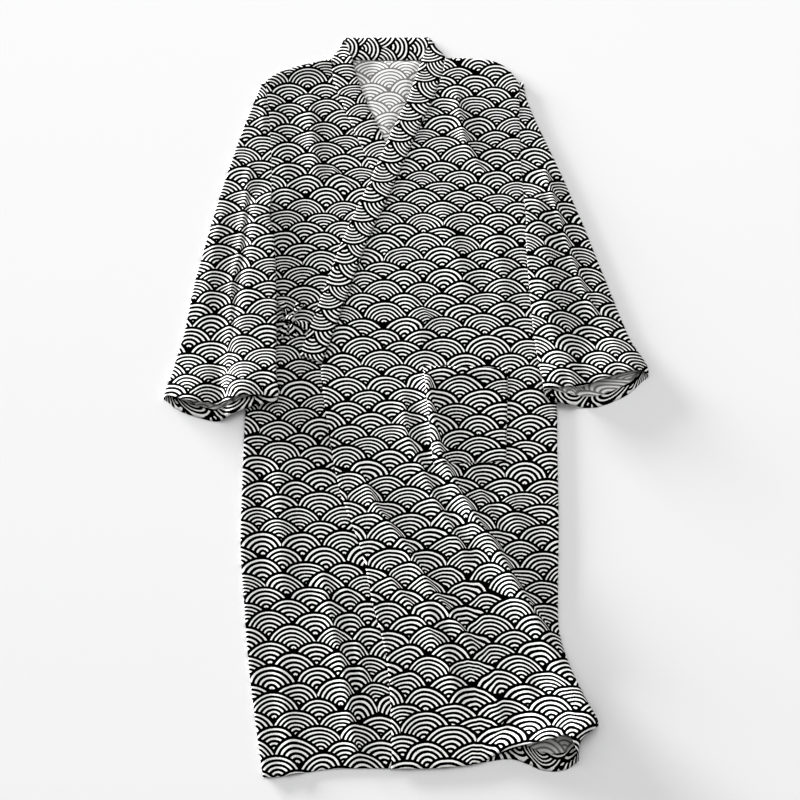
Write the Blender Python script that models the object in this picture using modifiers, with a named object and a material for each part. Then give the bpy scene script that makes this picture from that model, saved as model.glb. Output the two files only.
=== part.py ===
"""A long cotton yukata robe, laid out face up, closed left over right.

The robe lies on a flat surface at z = 0 with its collar towards +Y and its hem towards -Y.
Seen from above, the wearer's right side is at -X and the wearer's left side at +X.
Plan sizes below are in millimetres, and MM turns them into metres. They are measured from a
point on the neckline, and CENTRE_X and CENTRE_Y bring the middle of the robe to the origin.
"""

from collections import namedtuple
from math import cos, exp, hypot, pi, radians, sin

import bmesh
import bpy
from mathutils import Vector

MM = 0.001
CENTRE_X = 10.7
CENTRE_Y = -2.1

# ---- cloth and layers -----------------------------------------------------------------------

CLOTH = 1.2             # wall of every single layer
BAND_CLOTH = 2.0        # wall of the doubled collar band
HALF = CLOTH / 2
SEAM_GAP = 0.35         # between the edges of two pieces sewn together
SEAM_HALF = 0.3         # each edge stays this far from a side or shoulder seam's middle

BACK_LEVEL = HALF       # middle of the back panel, which lies on the surface
UNDER_LEVEL = 2.1       # middle of the right front, on the back panel
OVER_LEVEL = 4.5        # middle of the left front, over the right front and its band
SIDE_ROUND = 2.2        # radius of the fold that a layer makes at the body's sides
SHOULDER_SEAM = 1.7     # where a front's fold over the shoulder meets the back panel
SIDE_SOFTNESS = 32.0    # how far in from the side a front settles to its own level
OPEN_SOFTNESS = 8.0     # and how much further for each millimetre that a side stands open
FOLD_EDGE = 20.0        # folds start this far in from the right side

ARMHOLE_END = 300.0     # y of the underarm point, where the armhole meets the side seam
ARMHOLE_BLEND = 26.0
ARMHOLE_GAP = 0.55      # between a sleeve and the body's panels along the armhole
ARMHOLE_TURN = (290.0, 322.0)       # y range in which a sleeve opens to meet the armhole

SLEEVE_ROUND = 2.1      # radius of a sleeve's folded edges
SLEEVE_OVER_BODY = 7.0  # middle of a sleeve's under layer where it lies on the body
SLEEVE_CLIMB_END = 22.0     # the under layer has climbed this far outside the body's side
SLEEVE_CLIMB_START = 46.0
SLEEVE_CLIMB_FADE = 46.0    # and above the underarm it comes down again over this length
SLEEVE_CROSSING = (250.0, 288.0)    # y range in which its inner edge crosses onto the body
SLEEVE_TOP = 551.0      # y where the sleeve head starts, at the shoulder tip
CUFF_FLARE = 95.0       # length over which a sleeve opens towards its mouth
SLEEVE_FOLD_MARGIN = 14.0           # folds fade this near to a sleeve's edges
ROUND_LIMIT = 3.0       # a folded edge is never rounder than the sleeve's width over this

Edge = namedtuple("Edge", "y x")            # a line that runs along the body
Rim = namedtuple("Rim", "x y")              # a line that runs across the body
Level = namedtuple("Level", "y size")       # a size that changes along the body
Fold = namedtuple("Fold", "start_x start_y end_x end_y half_width height start_fade end_fade")
Mouth = namedtuple("Mouth", "across upper_y under_y gape")
Station = namedtuple("Station", "seam_x seam_y free_x free_y level")

# ---- outlines, each from the hem or low end upwards -----------------------------------------

RIGHT_SIDE = (                      # body at the wearer's right, hem to shoulder tip
    Edge(-651, -202), Edge(-575, -215), Edge(-483, -229), Edge(-383, -240), Edge(-300, -248),
    Edge(-242, -249.5), Edge(-67, -249), Edge(0, -246), Edge(100, -236), Edge(200, -226),
    Edge(300, -220), Edge(367, -220), Edge(440, -224), Edge(500, -230), Edge(556, -237),
)
LEFT_SIDE = (                       # body at the wearer's left, with the flared hem corner
    Edge(-628, 263), Edge(-606, 266), Edge(-590, 276), Edge(-578, 294), Edge(-566, 293),
    Edge(-540, 280), Edge(-483, 256), Edge(-433, 243), Edge(-375, 243), Edge(-258, 248.5),
    Edge(-133, 251), Edge(-58, 253), Edge(0, 250), Edge(100, 238), Edge(200, 223),
    Edge(300, 212), Edge(400, 208), Edge(450, 207.5), Edge(500, 208.5), Edge(560, 211),
)
LEFT_SIDE_ROUND = (                 # radius of the left side: the hem corner stands open
    Level(-628, 14), Level(-600, 15), Level(-570, 13), Level(-530, 8), Level(-480, 4),
    Level(-430, SIDE_ROUND), Level(600, SIDE_ROUND),
)
RIGHT_SHOULDER = (
    Rim(-237, 553), Rim(-228, 563), Rim(-215, 572), Rim(-200, 579), Rim(-180, 586),
    Rim(-150, 594), Rim(-121, 600), Rim(-80, 601),
)
LEFT_SHOULDER = (
    Rim(60, 602.5), Rim(80, 602.5), Rim(120, 602), Rim(154, 599), Rim(176, 591), Rim(192, 578),
    Rim(203, 561), Rim(211, 546),
)
BACK_TOP = (
    Rim(-237, 553), Rim(-228, 563), Rim(-215, 572), Rim(-200, 579), Rim(-180, 586),
    Rim(-150, 594), Rim(-118, 597.5), Rim(-20, 597.5), Rim(78, 597.5), Rim(120, 599),
    Rim(154, 598), Rim(176, 591), Rim(192, 578), Rim(203, 561), Rim(211, 546),
)
RIGHT_HEM = (
    Rim(-202, -651), Rim(-175, -649), Rim(-150, -645), Rim(-100, -638), Rim(-8, -637),
    Rim(90, -635),
)
LEFT_HEM = (
    Rim(-20, -638), Rim(30, -638), Rim(83, -635), Rim(120, -630), Rim(150, -617),
    Rim(175, -610), Rim(205, -608), Rim(235, -603), Rim(250, -602), Rim(264, -628),
)
BACK_HEM = (
    Rim(-202, -648), Rim(-150, -641), Rim(-100, -634), Rim(83, -631), Rim(125, -628),
    Rim(150, -624), Rim(170, -624), Rim(190, -631), Rim(212, -640), Rim(242, -640),
    Rim(264, -628),
)
OVERLAP_EDGE = (                    # free edge of the left front below its band
    Edge(-638, -13), Edge(-605, -12), Edge(-479, -20), Edge(-385, -43), Edge(-302, -61),
    Edge(-207, -95), Edge(-98, -116), Edge(-2, -129), Edge(12, -127),
)
UNDERLAP_EDGE = (                   # hidden free edge of the right front
    Edge(-638, 78), Edge(-400, 82), Edge(-200, 84), Edge(0, 84), Edge(20, 84),
)

# The collar band, from its cut end on the left front, round the neck, to its hidden end.
COLLAR = (
    Station(-127, 14, -164, 27, 3.9), Station(-118, 42, -156, 52, 3.9),
    Station(-87, 137, -125, 149, 3.9), Station(-54, 239, -92, 252, 3.9),
    Station(-17, 328, -55, 343, 3.9), Station(20, 425, -18, 440, 3.9),
    Station(37, 466, -1, 481, 3.9), Station(53, 503, 14, 517, 3.6),
    Station(67, 543, 26, 556, 3.0), Station(77, 580, 36, 589, 2.2),
    Station(80, 604, 39, 599.5, 1.5), Station(67, 623, 40, 600, 1.0),
    Station(53, 645, 39, 600, 0.6), Station(42, 646, 36, 600, 0.4),
    Station(20, 646.5, 18, 600, 0.4), Station(-25, 646.5, -22, 600, 0.4),
    Station(-70, 646, -66, 600, 0.4), Station(-92, 646, -81, 600, 0.4),
    Station(-99, 643, -84, 600, 0.6), Station(-109, 621, -85, 600, 1.0),
    Station(-120.5, 602, -85, 599.5, 1.4), Station(-120.5, 581, -82, 586, 1.5),
    Station(-115, 549, -76, 562, 1.5), Station(-98, 500, -60, 513, 1.5),
    Station(-78, 451, -40, 465, 1.5), Station(-67, 424, -29, 438, 1.5),
    Station(-28, 328, 10, 343, 1.5), Station(12, 239, 50, 252, 1.5),
    Station(47, 136, 85, 149, 1.5), Station(85, 20, 122, 32, 1.5),
)
OVER_STATIONS = 10      # stations along the left front's seam
UNDER_START = 20        # first station along the right front's seam

# ---- folds: a soft ridge from a start to an end ---------------------------------------------

LEFT_FRONT_FOLDS = (
    Fold(96, 545, 138, 375, 12, 4.5, 50, 60),
    Fold(22, 40, 38, -176, 11, 4.5, 60, 50),
    Fold(92, -196, 282, -556, 15, 8.0, 70, 0),
    Fold(150, -182, 236, -420, 17, 4.0, 60, 80),
    Fold(-22, -236, 152, -476, 14, 6.0, 60, 70),
    Fold(20, -330, 96, -560, 15, 3.5, 70, 60),
    Fold(178, -470, 214, -604, 13, 4.0, 60, 0),
    Fold(60, 330, 120, 110, 18, 2.5, 70, 70),
)
RIGHT_FRONT_FOLDS = (
    Fold(-150, -300, -88, -632, 12, 5.0, 70, 0),
    Fold(-196, -120, -176, -420, 15, 3.0, 70, 90),
    Fold(-160, 540, -138, 330, 13, 3.0, 60, 70),
    Fold(-190, -430, -160, -640, 13, 2.5, 70, 0),
)
RIGHT_SLEEVE_FOLDS = (
    Fold(-266, 420, -258, 160, 8, 2.6, 70, 60),
    Fold(-281, 130, -286, -40, 9, 3.0, 50, 10),
    Fold(-300, 330, -330, 60, 11, 2.6, 70, 70),
)
LEFT_SLEEVE_FOLDS = (
    Fold(255, 356, 326, 84, 9, 3.6, 60, 60),
    Fold(232, 190, 262, -20, 10, 2.6, 70, 10),
    Fold(318, 190, 352, 20, 11, 2.4, 60, 20),
)
FOLD_MARGIN = 24.0      # the right front's folds fade out before the left front covers them

# ---- sleeves, seen from above ---------------------------------------------------------------

RIGHT_SLEEVE_OUTER = (
    Edge(-90, -383), Edge(-47, -382), Edge(0, -370), Edge(67, -355), Edge(110, -349),
    Edge(167, -341), Edge(215, -331), Edge(267, -320), Edge(330, -306), Edge(400, -288),
    Edge(455, -273), Edge(500, -259), Edge(540, -246), Edge(551, -243),
)
RIGHT_SLEEVE_INNER = (
    Edge(-60, -196), Edge(-46, -196), Edge(0, -201), Edge(117, -204), Edge(200, -209),
    Edge(260, -214), Edge(300, -217.4),
)
RIGHT_SLEEVE_MOUTH = (              # across is 0 at the inner edge and 1 at the outer edge
    Mouth(0.00, -50, -57, 1.5), Mouth(0.12, -49, -61, 2.5), Mouth(0.24, -49, -66, 6.5),
    Mouth(0.36, -52, -75, 8.0), Mouth(0.44, -57, -82, 4.0), Mouth(0.51, -61, -86, 1.5),
    Mouth(0.58, -59, -86, 5.0), Mouth(0.70, -58, -80, 12.0), Mouth(0.82, -55, -73, 12.5),
    Mouth(0.92, -49, -64, 8.0), Mouth(1.00, -45, -52, 4.5),
)
LEFT_SLEEVE_OUTER = (
    Edge(-70, 400), Edge(-14, 403), Edge(2, 404), Edge(22, 396), Edge(42, 384), Edge(60, 376),
    Edge(105, 361), Edge(140, 350), Edge(175, 339), Edge(210, 328), Edge(262, 312),
    Edge(300, 299), Edge(345, 284), Edge(410, 260), Edge(470, 237), Edge(520, 221),
    Edge(551, 217),
)
LEFT_SLEEVE_INNER = (
    Edge(-62, 233), Edge(-35, 232), Edge(0, 227), Edge(50, 221), Edge(100, 217),
    Edge(200, 213), Edge(260, 211.5), Edge(300, 210.4),
)
LEFT_SLEEVE_MOUTH = (
    Mouth(0.00, -38, -48, 1.5), Mouth(0.12, -35, -58, 4.0), Mouth(0.22, -33, -62, 3.0),
    Mouth(0.32, -33, -63, 7.5), Mouth(0.42, -28, -63, 9.5), Mouth(0.52, -22, -62, 9.5),
    Mouth(0.64, -15, -56, 10.5), Mouth(0.76, -8, -47, 9.0), Mouth(0.87, -3, -36, 10.0),
    Mouth(1.00, -2, -15, 5.0),
)

# ---- pocket and tie -------------------------------------------------------------------------

POCKET_TOP_LEFT = (38, 8)
POCKET_TOP_RIGHT = (176, 4)
POCKET_LOW_LEFT = (53, -163)
POCKET_LOW_RIGHT = (169, -157)
POCKET_GAP = 0.6        # from the left front's upper face
POCKET_GAPE = 2.2       # how far the top edge stands off
POCKET_GAPE_DEPTH = 34.0
POCKET_GAPE_SHAPE = 0.8     # below 1 the top edge lifts more evenly across

TIE_WIDTH = 12.0
TIE_GATHERED = 5.0      # width where a strap enters the knot
TIE_REST = UNDER_LEVEL + 2 * HALF + SEAM_GAP    # a strap's middle where it lies on the robe
TIE_REACH = 2.4         # straps start this far outside the knot
TIE_SPREAD = (0.0, 0.7)     # share of its length in which a strap widens
KNOT_X = -181
KNOT_Y = 92
KNOT_SIZE = (15, 13, 8.5)
Strap = namedtuple("Strap", "name end_x end_y start_height end_height bow")
TIE_ENDS = (            # straps that leave the knot and end flat or cut
    Strap("tie_tail_left", -196, 62, 3.0, 0.0, 1.5),
    Strap("tie_tail_right", -175, 59, 3.0, 0.0, 1.5),
    Strap("tie_strap_band", -149, 77, 2.6, 1.4, 1.0),
    Strap("tie_strap_side", -209, 98, 1.6, 1.3, 0.3),
)
Loop = namedtuple("Loop", "name end_x end_y height")
TIE_LOOPS = (
    Loop("tie_loop_left", -196, 122, 5.2),
    Loop("tie_loop_right", -164, 121, 5.6),
)
LOOP_LIFT = 0.2         # a loop's lower run lies this far above the robe
LOOP_FULLNESS = 0.7     # below 1 the loop is rounder at its end
LOOP_PINCH = 0.55       # height near the knot as a share of the loop's height

# ---- grids ----------------------------------------------------------------------------------

ARC_ANGLES = (0, 30, 60)            # columns round a side or a shoulder, in degrees
OUTER_ANGLES = (45, 0, -45)         # columns round a sleeve's outer fold
NECK_STEP = 20.0                    # row spacing beside the neck
NECK_ZONE = 120.0
LONG_STEP = 41.0                    # row spacing along the body
HEM_STEP = 17.0                     # row spacing near the hem
HEM_ZONE = 215.0
LEFT_FRONT_COLUMNS = 19
RIGHT_FRONT_COLUMNS = 12
BACK_COLUMNS = 9
SLEEVE_ROWS = 23
SLEEVE_UPPER_COLUMNS = 10
SLEEVE_UNDER_COLUMNS = 7
UNDER_CROWDING = 1.3                # above 1 the under columns crowd towards the inner edge
POCKET_COLUMNS = 9
POCKET_ROWS = 11
STRAP_ROWS = 7
LOOP_ROWS = 15
KNOT_SEGMENTS = 12
KNOT_RINGS = 7
BAND_STEPS = 2                      # rings between two stations of the band
BAND_COLUMNS = 3
FIT_ROUNDS = 6                      # times a point's x and y are fitted to each other

INK = (0.012, 0.012, 0.014, 1)
WHITE = (0.80, 0.79, 0.76, 1)
COTTON_ROUGHNESS = 0.85


# ---- small helpers --------------------------------------------------------------------------

def smooth_line(rows, at):
    """Read a smooth line through rows of (key, value) at one key, held level past its ends."""
    if at <= rows[0][0]:
        return rows[0][1]
    if at >= rows[-1][0]:
        return rows[-1][1]
    last = len(rows) - 1
    low = max(i for i in range(last) if rows[i][0] <= at)
    before, here, after, beyond = (rows[max(0, min(last, low + k))] for k in (-1, 0, 1, 2))
    span = after[0] - here[0]
    t = (at - here[0]) / span
    lean_here = (after[1] - before[1]) / (after[0] - before[0]) * span
    lean_after = (beyond[1] - here[1]) / (beyond[0] - here[0]) * span
    return ((2 * t**3 - 3 * t**2 + 1) * here[1] + (t**3 - 2 * t**2 + t) * lean_here
            + (3 * t**2 - 2 * t**3) * after[1] + (t**3 - t**2) * lean_after)


def ease(low, high, at):
    """Go from 0 at low to 1 at high along a soft S."""
    t = max(0.0, min(1.0, (at - low) / (high - low)))
    return t * t * (3 - 2 * t)


def mix(a, b, share):
    return a + (b - a) * share


def steps(count):
    """Evenly spaced shares from 0 to 1."""
    return [step / (count - 1) for step in range(count)]


def fold_height(folds, x, y):
    """Height of all the soft ridges at one place."""
    total = 0.0
    for fold in folds:
        run = hypot(fold.end_x - fold.start_x, fold.end_y - fold.start_y)
        along_x = (fold.end_x - fold.start_x) / run
        along_y = (fold.end_y - fold.start_y) / run
        along = (x - fold.start_x) * along_x + (y - fold.start_y) * along_y
        aside = (x - fold.start_x) * along_y - (y - fold.start_y) * along_x
        fade = ease(0, fold.start_fade, along)
        if fold.end_fade:
            fade *= ease(0, fold.end_fade, run - along)
        total += fold.height * fade * exp(-(aside / fold.half_width) ** 2)
    return total


def cloth_material(name, color):
    material = bpy.data.materials.new(name)
    material.use_nodes = True
    shader = material.node_tree.nodes["Principled BSDF"]
    shader.inputs["Base Color"].default_value = color
    shader.inputs["Roughness"].default_value = COTTON_ROUGHNESS
    shader.inputs["Metallic"].default_value = 0.0
    material.diffuse_color = color
    return material


def sheet(name, columns, rows, place, wall, color):
    """Make one piece of cloth: a grid set in place point by point, then given its wall."""
    mesh = bpy.data.meshes.new(name)
    grid = bmesh.new()
    last_column = len(columns) - 1
    last_row = len(rows) - 1
    bmesh.ops.create_grid(grid, x_segments=last_column, y_segments=last_row, size=0.5)
    for vert in grid.verts:
        column = columns[round((vert.co.x + 0.5) * last_column)]
        row = rows[round((vert.co.y + 0.5) * last_row)]
        vert.co = (Vector(place(column, row)) - CENTRE) * MM
    bmesh.ops.recalc_face_normals(grid, faces=grid.faces)
    grid.to_mesh(mesh)
    grid.free()
    mesh.shade_smooth()
    piece = bpy.data.objects.new(name, mesh)
    garment.objects.link(piece)
    mesh.materials.append(cloth_material(name, color))
    solidify = piece.modifiers.new("Wall", "SOLIDIFY")
    solidify.thickness = wall * MM
    solidify.offset = 0.0
    return piece


# ---- the body: back panel and two fronts ----------------------------------------------------

def body_rows():
    """Rows from the shoulder to the hem: ('arc', degrees) round the shoulder, then shares."""
    length = LEFT_SHOULDER[2].y - LEFT_HEM[1].y
    shares = []
    drop = 0.0
    while drop < length - HEM_ZONE:
        shares.append(drop / length)
        drop += NECK_STEP if drop < NECK_ZONE else LONG_STEP
    hem_rows = round((length - drop) / HEM_STEP) + 1
    shares += [mix(drop, length, share) / length for share in steps(hem_rows)]
    return [("arc", angle) for angle in ARC_ANGLES] + [("share", share) for share in shares]


def side_columns(count, left_arc, right_arc):
    """Columns from -X to +X: round the left fold if any, across, round the right fold."""
    columns = [("left", angle) for angle in ARC_ANGLES] if left_arc else []
    columns += [("share", share) for share in steps(count)]
    columns += [("right", angle) for angle in reversed(ARC_ANGLES)] if right_arc else []
    return columns


def arc_inset(radius, degrees):
    return radius * (1 - cos(radians(degrees)))


def round_share(y, degrees):
    """How far a layer has risen from the side seam: the armhole has no fold at all."""
    folded = 1 - ease(ARMHOLE_END - ARMHOLE_BLEND, ARMHOLE_END, y)
    return 1 - folded * (1 - sin(radians(degrees)))


def left_round(y):
    return smooth_line(LEFT_SIDE_ROUND, y)


def edge_height(radius):
    """Middle level of the upper layer where it comes over the side fold."""
    return BACK_LEVEL + 2 * radius


def body_place(column, row, top_rim, hem_rim, left_edge, right_edge, height, panel):
    """Place one point of a body panel.

    left_edge and right_edge give x at a y, and height gives the panel's middle level. A
    front ("left" or "right") folds down to the seams, and the "back" folds up to them.
    """
    top_inset = arc_inset(SIDE_ROUND, row[1]) if row[0] == "arc" else SIDE_ROUND
    share_down = row[1] if row[0] == "share" else 0.0
    x = (left_edge(0) + right_edge(0)) / 2
    y = 0.0
    for _ in range(FIT_ROUNDS):
        y = mix(smooth_line(top_rim, x) - top_inset, smooth_line(hem_rim, x), share_down)
        left, right = left_edge(y), right_edge(y)
        left_radius = SIDE_ROUND if panel != "left" else 0.0
        right_radius = left_round(y) if panel != "right" else 0.0
        if column[0] == "left":
            x = left + arc_inset(left_radius, column[1])
        elif column[0] == "right":
            x = right - arc_inset(right_radius, column[1])
        else:
            x = mix(left + left_radius, right - right_radius, column[1])
    rise = round_share(y, column[1]) if column[0] in ("left", "right") else 1.0
    radius = left_round(y) if column[0] == "right" else SIDE_ROUND
    seam = BACK_LEVEL + radius
    if panel == "back":
        return (x, y, mix(seam - SEAM_HALF, BACK_LEVEL, rise))
    level = mix(seam + SEAM_HALF, height(x, y), rise)
    if row[0] == "arc":
        level = mix(SHOULDER_SEAM, level, sin(radians(row[1])))
    return (x, y, level)


def left_front_level(x, y):
    radius = left_round(y)
    spread = SIDE_SOFTNESS + OPEN_SOFTNESS * (radius - SIDE_ROUND)
    from_side = smooth_line(LEFT_SIDE, y) - radius - x
    level = mix(edge_height(radius), OVER_LEVEL, ease(0, spread, from_side))
    return level + fold_height(LEFT_FRONT_FOLDS, x, y) * ease(0, SIDE_SOFTNESS, from_side)


def right_front_level(x, y):
    from_side = x - smooth_line(RIGHT_SIDE, y) - SIDE_ROUND
    from_side = min(from_side, smooth_line(RIGHT_SHOULDER, x) - SIDE_ROUND - y)
    level = mix(edge_height(SIDE_ROUND), UNDER_LEVEL, ease(0, SIDE_SOFTNESS, from_side))
    shown = ease(0, FOLD_MARGIN, left_front_free_edge(y) - FOLD_MARGIN - x)
    shown *= ease(0, FOLD_EDGE, from_side)
    return level + fold_height(RIGHT_FRONT_FOLDS, x, y) * shown


def seam_line(stations):
    """The band's seam as rows of (y, x), from the lowest station up."""
    return sorted((station.seam_y, station.seam_x) for station in stations)


OVER_SEAM = seam_line(COLLAR[:OVER_STATIONS + 1])
UNDER_SEAM = seam_line(COLLAR[UNDER_START:])


def left_front_free_edge(y):
    """x of the left front's free edge: along its band, then down the overlap."""
    below = smooth_line(OVERLAP_EDGE, y)
    beside = smooth_line(OVER_SEAM, y) + SEAM_GAP
    return below if y < OVER_SEAM[0][0] else beside


def right_front_free_edge(y):
    below = smooth_line(UNDERLAP_EDGE, y)
    beside = smooth_line(UNDER_SEAM, y) - SEAM_GAP
    return below if y < UNDER_SEAM[0][0] else beside


def build_body():
    rows = body_rows()
    sheet("back_panel", side_columns(BACK_COLUMNS, True, True), rows,
          lambda column, row: body_place(
              column, row, BACK_TOP, BACK_HEM, lambda y: smooth_line(RIGHT_SIDE, y),
              lambda y: smooth_line(LEFT_SIDE, y), None, "back"), CLOTH, WHITE)
    sheet("right_front", side_columns(RIGHT_FRONT_COLUMNS, True, False), rows,
          lambda column, row: body_place(
              column, row, RIGHT_SHOULDER, RIGHT_HEM, lambda y: smooth_line(RIGHT_SIDE, y),
              right_front_free_edge, right_front_level, "right"), CLOTH, INK)
    sheet("left_front", side_columns(LEFT_FRONT_COLUMNS, False, True), rows,
          lambda column, row: body_place(
              column, row, LEFT_SHOULDER, LEFT_HEM, left_front_free_edge,
              lambda y: smooth_line(LEFT_SIDE, y), left_front_level, "left"), CLOTH, INK)


# ---- sleeves --------------------------------------------------------------------------------

def sleeve_columns():
    """From the front seam edge over the sleeve to its outer fold and back underneath."""
    upper = [("upper", share) for share in steps(SLEEVE_UPPER_COLUMNS)]
    under = [("under", (1 - share) ** UNDER_CROWDING) for share in steps(SLEEVE_UNDER_COLUMNS)]
    return ([("front_arc", angle) for angle in ARC_ANGLES] + upper
            + [("outer_arc", angle) for angle in OUTER_ANGLES] + under
            + [("back_arc", angle) for angle in reversed(ARC_ANGLES)])


def mouth_value(mouth, field, across):
    return smooth_line([(row.across, getattr(row, field)) for row in mouth], across)


def sleeve_place(column, row, inner_line, outer_line, side_line, mouth, folds, sign):
    """Place one point of a sleeve, worked out for +X outwards and mirrored by sign."""
    kind, value = column
    across = {"front_arc": 0.0, "back_arc": 0.0, "outer_arc": 1.0}.get(kind, value)
    end_upper = mouth_value(mouth, "upper_y", across)
    end_under = mouth_value(mouth, "under_y", across)
    if kind in ("upper", "front_arc"):
        end = end_upper
    elif kind in ("under", "back_arc"):
        end = end_under
    else:
        end = mix(end_upper, end_under, (90 - value) / 180)
    y = mix(SLEEVE_TOP, end, row)
    outer = sign * smooth_line(outer_line, y)
    side = sign * smooth_line(side_line, y)
    closed = 1 - ease(*ARMHOLE_TURN, y)
    beside_body = ease(*SLEEVE_CROSSING, y)
    beside = side + ARMHOLE_GAP + HALF * closed
    inner = mix(sign * smooth_line(inner_line, y), beside, beside_body)
    near_mouth = ease(CUFF_FLARE, 0, y - end)
    outer_round = SLEEVE_ROUND + near_mouth * mouth_value(mouth, "gape", 1.0)
    outer_round = min(outer_round, (outer - inner) / ROUND_LIMIT)
    if kind in ("front_arc", "back_arc"):
        out = inner + arc_inset(SLEEVE_ROUND, value)
    elif kind == "outer_arc":
        out = outer - arc_inset(outer_round, value)
    else:
        out = mix(inner + SLEEVE_ROUND, outer - outer_round, value)
    over_body = 1 - ease(side + SLEEVE_CLIMB_END, side + SLEEVE_CLIMB_START, out)
    over_body *= 1 - ease(ARMHOLE_END, ARMHOLE_END + SLEEVE_CLIMB_FADE, y)
    under = mix(BACK_LEVEL, SLEEVE_OVER_BODY, over_body)
    swell = near_mouth * mouth_value(mouth, "gape", across)
    upper = under + 2 * SLEEVE_ROUND + swell
    inside = ease(0, SLEEVE_FOLD_MARGIN, min(out - inner, outer - out))
    upper += fold_height(folds, sign * out, y) * inside
    if kind == "outer_arc":
        level = mix(under, upper, (1 + sin(radians(value))) / 2)
    elif kind == "upper":
        level = upper
    elif kind == "under":
        level = under
    else:
        seam = (under + upper) / 2
        gap = SEAM_HALF if kind == "front_arc" else -SEAM_HALF
        edge = upper if kind == "front_arc" else under
        level = mix(edge, mix(seam + gap, edge, sin(radians(value))), closed)
    return (sign * out, y, level)


def build_sleeves():
    rows = steps(SLEEVE_ROWS)
    sheet("right_sleeve", sleeve_columns(), rows,
          lambda column, row: sleeve_place(
              column, row, RIGHT_SLEEVE_INNER, RIGHT_SLEEVE_OUTER, RIGHT_SIDE,
              RIGHT_SLEEVE_MOUTH, RIGHT_SLEEVE_FOLDS, -1), CLOTH, INK)
    sheet("left_sleeve", sleeve_columns(), rows,
          lambda column, row: sleeve_place(
              column, row, LEFT_SLEEVE_INNER, LEFT_SLEEVE_OUTER, LEFT_SIDE,
              LEFT_SLEEVE_MOUTH, LEFT_SLEEVE_FOLDS, 1), CLOTH, INK)


# ---- collar band ----------------------------------------------------------------------------

def band_place(column, row):
    """Place one point between the seam edge (column 0) and the free edge (column 1)."""
    keyed = {field: [(i, getattr(station, field)) for i, station in enumerate(COLLAR)]
             for field in Station._fields}
    at = {field: smooth_line(keyed[field], row) for field in Station._fields}
    if row <= OVER_STATIONS:
        at["seam_x"] = smooth_line(OVER_SEAM, at["seam_y"])
    elif row >= UNDER_START:
        at["seam_x"] = smooth_line(UNDER_SEAM, at["seam_y"])
    x = mix(at["seam_x"], at["free_x"], column)
    y = mix(at["seam_y"], at["free_y"], column)
    return (x, y, at["level"] + BAND_CLOTH / 2)


def build_band():
    rows = [step / BAND_STEPS for step in range((len(COLLAR) - 1) * BAND_STEPS + 1)]
    sheet("collar_band", steps(BAND_COLUMNS), rows, band_place, BAND_CLOTH, INK)


# ---- pocket ---------------------------------------------------------------------------------

def pocket_place(column, row):
    top_x = mix(POCKET_TOP_LEFT[0], POCKET_TOP_RIGHT[0], column)
    top_y = mix(POCKET_TOP_LEFT[1], POCKET_TOP_RIGHT[1], column)
    low_x = mix(POCKET_LOW_LEFT[0], POCKET_LOW_RIGHT[0], column)
    low_y = mix(POCKET_LOW_LEFT[1], POCKET_LOW_RIGHT[1], column)
    x = mix(top_x, low_x, row)
    y = mix(top_y, low_y, row)
    open_share = ease(POCKET_GAPE_DEPTH, 0, top_y - y) * sin(pi * column) ** POCKET_GAPE_SHAPE
    level = left_front_level(x, y) + CLOTH + POCKET_GAP + POCKET_GAPE * open_share
    return (x, y, level)


def build_pocket():
    sheet("patch_pocket", steps(POCKET_COLUMNS), steps(POCKET_ROWS), pocket_place, CLOTH, INK)


# ---- side tie -------------------------------------------------------------------------------

def build_knot():
    mesh = bpy.data.meshes.new("tie_knot")
    knot = bmesh.new()
    bmesh.ops.create_uvsphere(knot, u_segments=KNOT_SEGMENTS, v_segments=KNOT_RINGS, radius=0.5)
    place = Vector((KNOT_X, KNOT_Y, TIE_REST - HALF + KNOT_SIZE[2] / 2)) - CENTRE
    for vert in knot.verts:
        vert.co = (vert.co * Vector(KNOT_SIZE) + place) * MM
    knot.to_mesh(mesh)
    knot.free()
    mesh.shade_smooth()
    mesh.materials.append(cloth_material("tie_knot", INK))
    garment.objects.link(bpy.data.objects.new("tie_knot", mesh))


def build_strap(name, end_x, end_y, rows, travel):
    """Make one flat strap; travel gives its share of the way out, height and fullness."""
    away = Vector((end_x - KNOT_X, end_y - KNOT_Y, 0))
    start = away.normalized() * (KNOT_SIZE[0] / 2 + TIE_REACH)
    aside = Vector((-away.y, away.x, 0)).normalized()

    def place(column, row):
        share, height, fullness = travel(row)
        width = mix(TIE_GATHERED, TIE_WIDTH, ease(*TIE_SPREAD, fullness))
        spot = start.lerp(away, share) + aside * (column - 0.5) * width
        return (KNOT_X + spot.x, KNOT_Y + spot.y, TIE_REST + height)

    sheet(name, steps(BAND_COLUMNS), steps(rows), place, CLOTH, INK)


def end_travel(strap):
    def travel(row):
        height = mix(strap.start_height, strap.end_height, ease(0, 1, row))
        return (row, height + strap.bow * sin(pi * row), row)
    return travel


def loop_travel(loop):
    def travel(row):
        turn = pi * row
        out = sin(turn) ** LOOP_FULLNESS
        lift = (1 - cos(turn)) / 2 * mix(LOOP_PINCH, 1, out)
        return (out, LOOP_LIFT + loop.height * lift, sin(turn))
    return travel


def build_tie():
    build_knot()
    for strap in TIE_ENDS:
        build_strap(strap.name, strap.end_x, strap.end_y, STRAP_ROWS, end_travel(strap))
    for loop in TIE_LOOPS:
        build_strap(loop.name, loop.end_x, loop.end_y, LOOP_ROWS, loop_travel(loop))


CENTRE = Vector((CENTRE_X, CENTRE_Y, 0))

for existing in list(bpy.data.objects):
    bpy.data.objects.remove(existing)

garment = bpy.data.collections.new("Yukata robe")
bpy.context.scene.collection.children.link(garment)

build_body()
build_sleeves()
build_band()
build_pocket()
build_tie()
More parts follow.
